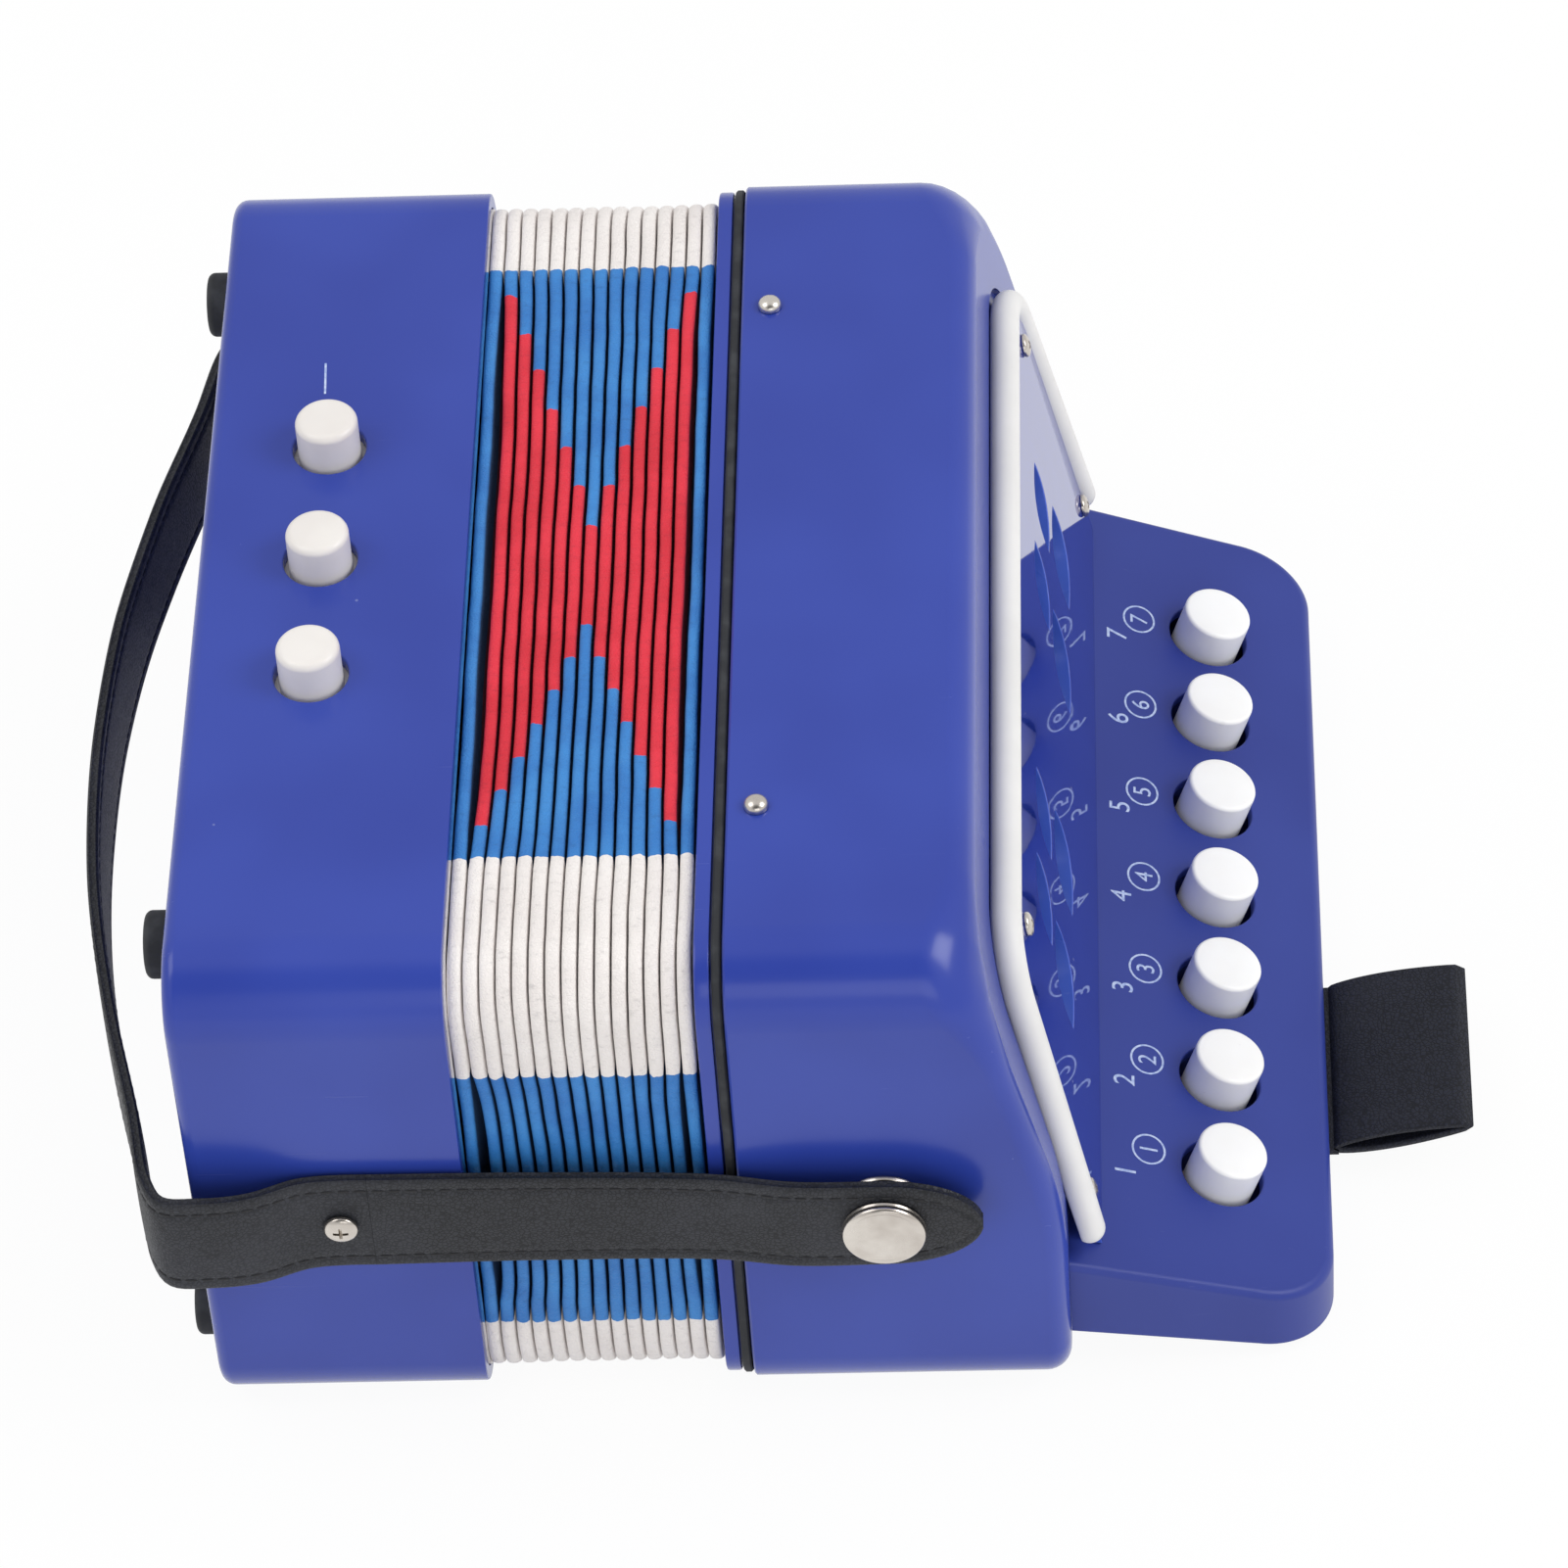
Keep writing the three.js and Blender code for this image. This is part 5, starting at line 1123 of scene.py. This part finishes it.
def tube_rule(sheet, entry):
    """A tube along a path, round at both ends and flat where it lies on the plate."""
    curve = sheet.node("GeometryNodeMeshToCurve", {}, {"Mesh": entry})
    curve = sheet.node("GeometryNodeFilletCurve", {"mode": "POLY"}, {
        "Curve": curve, "Count": 14, "Radius": entry["Bend"]})
    curve = sheet.node("GeometryNodeResampleCurve", {}, {
        "Curve": curve, "Count": entry["Stations"]})
    length = sheet.node("GeometryNodeCurveLength", {}, {"Curve": curve})
    run = sheet.node("GeometryNodeSplineParameter", out="Length")
    radius = entry["Radius"]
    near = (run.least(length - run) / radius).least(1.0)
    swell = (1 - (1 - near) ** 2.0).most(0.0).root().most(0.02)
    round_section = sheet.node("GeometryNodeCurvePrimitiveCircle", {"mode": "RADIUS"}, {
        "Resolution": 32, "Radius": radius})
    return sheet.node("GeometryNodeSetShadeSmooth", {}, {"Geometry": sheet.node(
        "GeometryNodeCurveToMesh", {}, {
            "Curve": curve, "Profile Curve": round_section, "Scale": swell, "Fill Caps": True})})


def grille_trim():
    """The white tube bent round three sides of the grille."""
    path = [(TRIM_FOOT, -trim_reach(TRIM_FOOT), 0), (TRIM_TOP, -TRIM_HALF, 0),
            (TRIM_TOP, TRIM_HALF, 0), (TRIM_FOOT, trim_reach(TRIM_FOOT), 0)]
    source = polyline("white_trim", [Vector(point) * MM for point in path])
    piece = grown("white_trim", source, {
        "Bend": TRIM_BEND * MM, "Radius": TRIM_RADIUS * MM, "Stations": 700},
        tube_rule, TRIM_WHITE)
    for vertex in piece.data.vertices:
        rise = TRIM_RISE * MM - (vertex.co.x - TRIM_TOP * MM) * TRIM_LEAN
        level = max(vertex.co.z + rise, -(PLATE_DEPTH + GAP * 0.8) * MM)
        vertex.co = GRILLE @ Vector((vertex.co.x, vertex.co.y, level))
    piece.data.update()
    return stands_for(piece, "treble", "white_plastic", "grille_trim")


def pan_screw(name, head, rise, shank):
    """A pan head screw with a cross recess, standing on Z."""
    rim = rise * 0.35
    profile = [(shank, -4), (shank, 0), (head * 0.94, 0), (head, rise * 0.12), (head, rim),
               *eased(0, rim, head, rise * 0.65, (0.25, 0.5, 0.75, 1.0, 1.25, 1.45))]
    screw = turned(name, profile, Vector(), UP, NICKEL, 48)
    cutters = []
    for long_x in (True, False):
        arm, slot = head * 0.56 * MM, head * 0.12 * MM
        x, y = (arm, slot) if long_x else (slot, arm)
        shares = ((-1, -1), (1, -1), (1, 1), (-1, 1))
        rings = [[Vector((sx * x * k, sy * y * k, z * MM)) for sx, sy in shares]
                 for z, k in ((rim, 0.55), (rise * 1.4, 1.0))]
        cutters.append(loft("recess", rings, NICKEL))
    return shaded(carved(screw, cutters), 30)


def grille_screws():
    places = [(on(GRILLE, along, across, plate_face(along) + 0.05), GRILLE_OUT)
              for along, across in ((22.6, -60.3), (22.6, 66.5), (68.5, -74.8), (68.5, 74.8))]
    piece = copies_at("plate_screws", pan_screw("plate_screw", 1.9, 1.1, 0.8), places, NICKEL)
    return stands_for(piece, "treble", "nickel", *numbered("grille_screw_", 4))


def casing_pins():
    """Domed pins: two at the front, and two sunk in the back."""
    profile = [(0.8, -5), (0.8, 0), (1.9, 0), (1.9, 0.25),
               *eased(0, 0.25, 1.9, 1.35, (0.2, 0.4, 0.6, 0.8, 1.0, 1.2, 1.4))]
    pattern = shaded(turned("domed_pin", profile, Vector(), UP, NICKEL, 40))
    places = [(at(PIN_ROW, side * PIN_SIDE, level), Vector((0, 0, out)))
              for level, out in ((BODY_DEPTH + 0.15, 1), (PIN_SUNK - 0.15, -1))
              for side in (-1, 1)]
    piece = copies_at("domed_pins", pattern, places, NICKEL)
    return stands_for(piece, "treble", "nickel", *numbered("casing_pin_", 4))


# Keyboard


def keyboard_outline(inset):
    """The keyboard seen from the front: slightly tapered, with two large corners."""
    inner, outer = KEYBOARD_HALF - inset, KEYBOARD_HALF - 1.6 - inset
    radius, end = 12 - inset, KEYBOARD_END - inset
    points = [(TREBLE_WALL + 0.05, -inner)]
    points += arc((end - radius, radius - outer), radius, -90, 0, 20)
    points += arc((end - radius, outer - radius), radius, 0, 90, 20)
    return points + [(TREBLE_WALL + 0.05, inner)]


def deck_level(x):
    return DECK_HEIGHT - (x - KEYBOARD_START) * DECK_SLOPE


def underside_level(x):
    return 8.9 - (x - KEYBOARD_START) * 8.4 / 40.8


def keyboard_housing():
    rings = []
    for level, edge, sign in ((underside_level, 0.8, 1), (deck_level, 1.3, -1)):
        steps = [i / 10 * math.pi / 2 for i in range(11)]
        for angle in steps if sign > 0 else reversed(steps):
            outline = keyboard_outline(edge * (1 - math.sin(angle)))
            drop = sign * edge * (1 - math.cos(angle))
            rings.append([at(x, y, level(x) + drop) for x, y in outline])
    piece = loft("keyboard_shell", rings, DECK_BLUE)
    wall, deck = 2, 2.1
    inside = keyboard_outline(wall)
    last = len(inside) - 1
    hollow = [[at(x - (i in (0, last)), y, level(x)) for i, (x, y) in enumerate(inside)]
              for level in (lambda x: -20, lambda x: deck_level(x) - deck)]
    cutters = [loft("hollow", hollow, DECK_BLUE)]
    cutters += [mouth(place, DECK_OUT, KEY_HOLE, 5, 0.3) for place in KEY_PLACES]
    pocket = LOOP_HALF + GAP
    cutters.append(block(KEYBOARD_END - 3, KEYBOARD_END + 1, LOOP_MIDDLE - pocket,
                         LOOP_MIDDLE + pocket, 4.6, 7.8))
    piece = carved(piece, cutters)
    return stands_for(shaded(piece, 12), "treble", "deck_blue", "keyboard_housing")


def button_caps(kind, body, profile, places, out, material, sides):
    """A turned cap on each button of a row."""
    for order, place in enumerate(places, 1):
        piece = turned("%s_cap_%d" % (kind, order), profile, place, out, material, sides)
        stands_for(shaded(piece), "%s_%d" % (body, order), "white_button",
                   "%s_button_%d" % (kind, order))


def treble_buttons():
    profile = [(1.8, 1.3), (1.8, -3.7), (5.65, -3.7), (5.65, 5.1), *eased(5, 5.1, 0.65, 0.65),
               (4.1, 5.82), (2.4, 5.87), (1.2, 5.89), (0.02, 5.9)]
    button_caps("treble", "key", profile, KEY_PLACES, DECK_OUT, CAP_WHITE, 72)


def number(text, along, across, height):
    """A printed number on the deck, read from the keyboard's near end."""
    curve = bpy.data.curves.new("number", "FONT")
    curve.body = text
    curve.size = height / 0.7 * MM
    curve.align_x = "CENTER"
    curve.align_y = "CENTER"
    curve.extrude = 0.02 * MM
    glyph = link("number", curve)
    mesh = worked_out(glyph)
    bpy.data.objects.remove(glyph)
    points = [vertex.co / MM for vertex in mesh.vertices]
    middle = [(max(p[i] for p in points) + min(p[i] for p in points)) / 2 for i in (0, 1)]
    spots = [(along - (p.y - middle[1]), across + p.x - middle[0], p.z) for p in points]
    return spots, [tuple(face.vertices) for face in mesh.polygons]


def number_ring(along, across):
    """The oval ring round a number."""
    spots, sides = [], 48
    for grow, level in ((0, -0.02), (0, 0.02), (0.34, 0.02), (0.34, -0.02)):
        for side in range(sides):
            angle = side / sides * math.tau
            spots.append((along + (2.45 + grow) * math.cos(angle),
                          across + (2.75 + grow) * math.sin(angle), level))
    return spots, skin(4, sides, True)


def deck_numbers():
    """Plain and ringed numbers beside the buttons, in two columns."""
    plain = (54.9, 35.6, 15.6, -4.1, -23.8, -43.4, -62.3)
    ringed = (59.3, 39.6, 19.9, 1.0, -19.0, -38.3, -57.0)
    along, along_ringed = ((x - KEYBOARD_START) / math.cos(DECK_TILT) for x in (141.9, 145.6))
    prints = []
    for order in range(7):
        text = str(7 - order)
        prints += [number(text, along, plain[order], 3.5),
                   number(text, along_ringed, ringed[order], 3.0),
                   number_ring(along_ringed, ringed[order])]
    points, faces = [], []
    for spots, shape in prints:
        faces += [tuple(len(points) + i for i in face) for face in shape]
        points += [on(DECK, along, across, out + 0.03) for along, across, out in spots]
    piece = closed("deck_numbers", points, faces, PRINT)
    return stands_for(piece, "treble", "white_plastic")


def valve_mark():
    """The thin printed line beside the air valve's button."""
    half, low, high = 0.17, BODY_DEPTH + 0.01, BODY_DEPTH + 0.05
    rings = [[at(x + side * half, y, level)
              for side, level in ((-1, low), (1, low), (1, high), (-1, high))]
             for x, y in ((17.5, 44), (17.8, 37))]
    piece = loft("valve_mark", rings, PRINT)
    return stands_for(piece, "bass", "white_plastic")


def bass_buttons():
    profile = [(2.2, -12), (2.2, -3.7), (6.5, -3.7), (6.5, -2.5), (4.95, -2.5), (4.95, 5.25),
               *eased(3.7, 5.25, 1.25, 1.25), (2.6, 6.58), (1.3, 6.66), (0.02, 6.68)]
    # The bass caps' darker ivory is partly painted shade.
    button_caps("bass", "bass_push", profile, BASS_PLACES, UP, CAP_IVORY_PAINTED_SHADE, 64)


# Feet, straps and thumb loop


def feet():
    profile = [(2, -2.2), (2, 0.3), (5.0, 0.3), (5.2, 0.5), (5.2, 2.9),
               *eased(4.1, 2.9, 1.1, 1.1, (0.3, 0.6, 0.9, 1.2, 1.5)), (2.4, 4.0), (0.02, 4.0)]
    pattern = shaded(turned("rubber_foot", profile, Vector(), UP, RUBBER, 48))
    places = [(at(0, y, z), Vector((-1, 0, 0)))
              for y, z in ((-70, 88), (70, 88), (-76, 11), (76, 11))]
    piece = copies_at("rubber_feet", pattern, places, RUBBER)
    return stands_for(piece, "bass", "black_rubber", *numbered("foot_", 4))


def smooth_line(points, count):
    """Even points on a smooth line through the given points."""
    line = []
    for i in range(len(points) - 1):
        p1, p2 = points[i], points[i + 1]
        p0 = points[i - 1] if i else p1 * 2 - p2
        p3 = points[i + 2] if i + 2 < len(points) else p2 * 2 - p1
        knots = [0.0]
        for a, b in ((p0, p1), (p1, p2), (p2, p3)):
            knots.append(knots[-1] + math.sqrt((b - a).length))
        for step in range(24):
            t = knots[1] + (knots[2] - knots[1]) * step / 24
            row = [p0, p1, p2, p3]
            for spans in (((0, 1), (1, 2), (2, 3)), ((0, 2), (1, 3)), ((1, 2),)):
                row = [(a * (knots[end] - t) + b * (t - knots[start])) / (knots[end] - knots[start])
                       for a, b, (start, end) in zip(row, row[1:], spans)]
            line.append(row[0])
    line.append(points[-1])
    return evened(line, count)


def evened(line, count):
    """A line's course as points at equal distances."""
    lengths = [0.0]
    for a, b in zip(line, line[1:]):
        lengths.append(lengths[-1] + (b - a).length)
    points, i = [], 0
    for step in range(count + 1):
        wanted = lengths[-1] * step / count
        while i < len(line) - 2 and lengths[i + 1] < wanted:
            i += 1
        share = (wanted - lengths[i]) / max(lengths[i + 1] - lengths[i], 1e-9)
        points.append(line[i].lerp(line[i + 1], min(max(share, 0), 1)))
    return points


def strap_section(half):
    """A strap of two glued layers: crowned faces, stitch channels and a seam along its edges."""
    thick, layer = STRAP_THICK, STRAP_THICK / 4
    outer = []
    for step in range(33):
        z = -half + layer + (half - layer) * 2 * step / 32
        share = z / half
        channel = math.exp(-((abs(z) - (half - STITCH_INSET)) / 0.45) ** 2) * 0.22
        outer.append((z, thick / 2 - 0.18 * share * share - channel))
    right = [(half - layer * 0.35, thick / 2 - 0.3), (half, layer), (half - layer * 0.45, 0.0),
             (half, -layer), (half - layer * 0.35, 0.3 - thick / 2)]
    inner = [(z, -n) for z, n in reversed(outer)]
    left = [(-z, -n) for z, n in right]
    return outer + right + inner + left


def beside(line, i):
    """The level direction across a line at one of its points."""
    run = (line[min(i + 1, len(line) - 1)] - line[max(i - 1, 0)]).normalized()
    return Vector((run.y, -run.x, 0))


def strap(name, line, halves):
    """Sweeps the strap's section along a line in X and Y."""
    rings = [[at(*(spot + beside(line, i) * n + Vector((0, 0, STRAP_HEIGHT + z))))
              for z, n in strap_section(halves[i])] for i, spot in enumerate(line)]
    return loft(name, rings, LEATHER)


def seam_lines(line, halves, start, end):
    """Where the stitches of a strap run, a little under its surface."""
    seams = []
    for face in (-1, 1):
        for edge in (-1, 1):
            seam = []
            for i in range(start, end):
                point = line[i] + beside(line, i) * face * (STRAP_THICK / 2 - 0.3)
                seam.append(at(point.x, point.y, STRAP_HEIGHT + edge * (halves[i] - STITCH_INSET)))
            seams.append(seam)
    return seams


def hand_strap():
    """The strap round the bass end: bowed in the middle and bulging where it turns."""
    bowed = [(-20.4, 0), (-18.97, 27.66), (-14.69, 53.5), (-9.18, 76.5), (-6.12, 90.8)]
    turn = [(-3.47, 95.0), (2.3, 95.48), (9.66, 94.7), (17.25, 91.94), (23, 91.4),
            (STRAP_CUT - 0.02, 91.4)]
    far = [Vector((x, y, 0)) for x, y in bowed + turn]
    near = [Vector((p.x, -p.y, 0)) for p in reversed(far[1:])]
    line = smooth_line(near + far, 260)
    halves = [STRAP_WIDTH / 2 + 0.12 * math.sin(i * 0.21) * math.sin(i / (len(line) - 1) * math.pi)
              for i in range(len(line))]
    piece = strap("hand_strap_leather", line, halves)
    stands_for(shaded(piece, 50), "bass", "black_leather", "hand_strap")
    rows = stitches("hand_strap_stitches", seam_lines(line, halves, 1, len(line) - 1))
    stands_for(rows, "bass", "black_leather")


def closing_straps():
    for side, body in SIDES:
        level = BODY_HALF + 1.4
        rise = SNAP_LEVEL - level
        rough = [(STRAP_CUT + 0.02, level), (STRAP_CUT + 27, level), (80, level + rise * 0.3),
                 (92, level + rise * 0.95), (SNAP, level + rise), (SNAP + SNAP_REACH, level + rise)]
        base = smooth_line([Vector((x, side * y, 0)) for x, y in rough], 120)
        line = [p for p in base if p.x < SNAP]
        tip = STRAP_WIDTH / 2 - 0.9
        halves = [STRAP_WIDTH / 2 - 0.9 * max(0, (p.x - STRAP_CUT) / (SNAP - STRAP_CUT))
                  for p in line]
        for step in range(1, 22):
            angle = step / 22 * math.pi / 2
            line.append(Vector((SNAP + SNAP_REACH * math.sin(angle), side * (level + rise), 0)))
            halves.append(max(tip * math.cos(angle), 1.2))
        if side > 0:
            line, halves = line[::-1], halves[::-1]
        piece = strap("closing_strap_leather_" + body, line, halves)
        stands_for(shaded(piece, 50), "strap_" + body, "black_leather", "closing_strap_" + body)
        straight = [i for i, p in enumerate(line) if STRAP_CUT + 1.2 < p.x < SNAP + 9]
        rows = stitches("closing_strap_stitches_" + body,
                        seam_lines(line, halves, straight[0], straight[-1]))
        stands_for(rows, "strap_" + body, "black_leather")


def snaps():
    """Caps on the closing straps and bases on the treble casing."""
    cap = [(4, -2.0), (4, -1.4), (1.5, -1.4), (1.5, 1.25), (6.3, 1.25), (6.4, 1.5),
           *eased(5.75, 2.3, 0.65, 0.8, (-0.6, -0.2, 0.2, 0.6, 1.0, 1.4, 1.8, 2.2)),
           (4.9, 2.75), (4.2, 2.9), (3.0, 3.0), (1.4, 3.06), (0.02, 3.08)]
    base = [(6.6, 0.3), (6.6, 0.6), (6.4, 0.95), (5.9, 1.15), (5.2, 0.95), (4.6, 1.15),
            (1.8, 1.2), (1.8, 1.65), (0.02, 1.7)]
    for side, body in SIDES:
        out = Vector((0, side, 0))
        place = at(SNAP, side * SNAP_LEVEL, STRAP_HEIGHT)
        piece = turned("snap_cap_" + body + "_domed", cap, place, out, NICKEL, 72)
        stands_for(shaded(piece), "strap_" + body, "nickel", "snap_cap_" + body)
        place = at(SNAP, side * BODY_HALF, STRAP_HEIGHT)
        piece = turned("snap_base_" + body + "_ring", base, place, out, NICKEL)
        stands_for(shaded(piece), "treble", "nickel", "snap_base_" + body)


def strap_screws():
    for side, body in SIDES:
        out = Vector((0, side, 0))
        places = [(at(STRAP_SCREW, side * (BODY_HALF + 2.8), STRAP_HEIGHT), out)]
        screw = pan_screw("strap_screw", 2.65, 1.5, 1.3)
        piece = copies_at("strap_screw_" + body + "_head", screw, places, NICKEL)
        stands_for(piece, "bass", "nickel", "strap_screw_" + body)


def loop_line(length, gap):
    """The closed line of the thumb loop in X and Z: out along the upper layer and back."""
    line = []
    for side in (1, -1):
        for step in range(24):
            share = step / 24
            reach = share if side > 0 else 1 - share
            swell = math.sin(math.pi * min(reach ** 0.8, 1)) ** 0.75
            height = 0.25 + swell * (gap / 2 + 0.4)
            line.append(Vector((0.9 + reach * (length - 1.6), 0, side * height)))
    return line


def thumb_loop():
    """A flattened leather loop held in the keyboard's end wall."""
    half, thick = LOOP_HALF, 1.3
    line = loop_line(23.5, 1.9)
    tilt = Matrix.Rotation(math.radians(-13), 3, "Y")
    rings = []
    for i, spot in enumerate(line):
        run = (line[(i + 1) % len(line)] - line[i - 1]).normalized()
        out = Vector((-run.z, 0, run.x))
        ring = []
        for y, n in rounded(-half, half, -thick / 2, thick / 2, 0.45, 4):
            point = tilt @ (spot + out * n)
            ring.append(at(KEYBOARD_END + point.x, y + LOOP_MIDDLE, 6.2 + point.z))
        rings.append(ring)
    piece = loft("thumb_loop_skin", rings, LOOP_LEATHER, around=True)
    ends = [[at(x, y + LOOP_MIDDLE, z) for y, z in rounded(-half, half, 4.9, 7.3, 0.5, 4)]
            for x in (KEYBOARD_END - 6, KEYBOARD_END + 1.6)]
    tongue = loft("thumb_loop_tab", ends, LOOP_LEATHER)
    stands_for(shaded(piece, 50), "treble", "black_leather", "thumb_loop")
    stands_for(shaded(tongue, 50), "treble", "black_leather")


# Finishes of the solids that stay


def inner_parts():
    finishes = {
        "key_axle": STEEL, "bass_axle": STEEL, "key_spring_comb": STEEL, "bass_spring_comb": STEEL,
        "treble_sound_board": BOARD_WOOD, "bass_sound_board": BOARD_WOOD,
        "treble_reed_plate": BRASS, "bass_reed_plate": BRASS, "keyboard_cover": DECK_BLUE,
    }
    levers = numbered("key_lever_", 7) + numbered("bass_lever_", 3)
    finishes.update({name: LEVER_WOOD for name in levers})
    for name, material in finishes.items():
        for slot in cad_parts[name].material_slots:
            slot.material = material


# Floor, lamps and surroundings


def seen(sheet):
    """1 where the camera looks, straight or by a reflection."""
    rays = sheet.node("ShaderNodeLightPath", out="Is Camera Ray")
    return rays.most(rays["Is Glossy Ray"]).most(rays["Is Transmission Ray"])


def floor():
    size = 6
    corners = [(x * size, y * size, 0) for x, y in ((-1, -1), (1, -1), (1, 1), (-1, 1))]
    piece = closed("floor", corners, [(0, 1, 2, 3)], None)
    material = bpy.data.materials.new("pale_floor")
    sheet = emptied(material)
    matt = sheet.node("ShaderNodeBsdfDiffuse", {}, {"Color": (0.9, 0.9, 0.9, 1)})
    glow = sheet.node("ShaderNodeEmission", {}, {"Color": (1, 1, 1, 1), "Strength": 1.0})
    mixed = sheet.node("ShaderNodeMixShader", {}, {0: seen(sheet) * 0.94, 1: matt, 2: glow})
    sheet.node("ShaderNodeOutputMaterial", {}, {"Surface": mixed})
    piece.data.materials.clear()
    piece.data.materials.append(material)


def surroundings():
    """White where the camera looks, greyer in reflections, which also show a dark room."""
    world = bpy.data.worlds.new("studio")
    sheet = emptied(world)
    rays = sheet.node("ShaderNodeLightPath", out="Is Camera Ray")
    to_camera = bpy.context.scene.camera.location.normalized()
    facing = sheet.node("ShaderNodeVectorMath", {"operation": "DOT_PRODUCT"}, {
        0: sheet.node("ShaderNodeTexCoord", out="Generated"), 1: tuple(to_camera)}, "Value")
    room = facing.soft(0.78, 0.96) * rays["Is Glossy Ray"]
    light = sheet.node("ShaderNodeBackground", {}, {
        "Color": (1, 1, 1, 1), "Strength": rays * 0.25 + 0.75 - room * 0.62})
    sheet.node("ShaderNodeOutputWorld", {}, {"Surface": light})
    bpy.context.scene.world = world


def lamp(name, place, size, power):
    data = bpy.data.lights.new(name, "AREA")
    data.shape = "RECTANGLE"
    data.size, data.size_y = size
    data.energy = power
    piece = link(name, data)
    piece.location = place
    aim = Vector((0, 0, 0.04)) - Vector(place)
    piece.rotation_euler = aim.to_track_quat("-Z", "Y").to_euler()


def lamps():
    lamp("upper_left_lamp", (-0.9, -0.1, 1.3), (0.8, 0.8), 4)
    lamp("front_lamp", (0.3, -1.4, 0.8), (1.0, 0.6), 2.6)
    lamp("right_lamp", (1.2, -0.1, 1.2), (0.8, 0.8), 9)


for make in (
        camera, floor, surroundings, lamps, bass_casing, treble_casing, frame_plate, gasket,
        bellows, grille_plate, grille_mesh, grille_trim, grille_screws, casing_pins,
        keyboard_housing, treble_buttons, deck_numbers, valve_mark, bass_buttons, feet,
        hand_strap, closing_straps, snaps, strap_screws, thumb_loop, inner_parts):
    make()
bpy.context.scene.view_settings.view_transform = "Standard"
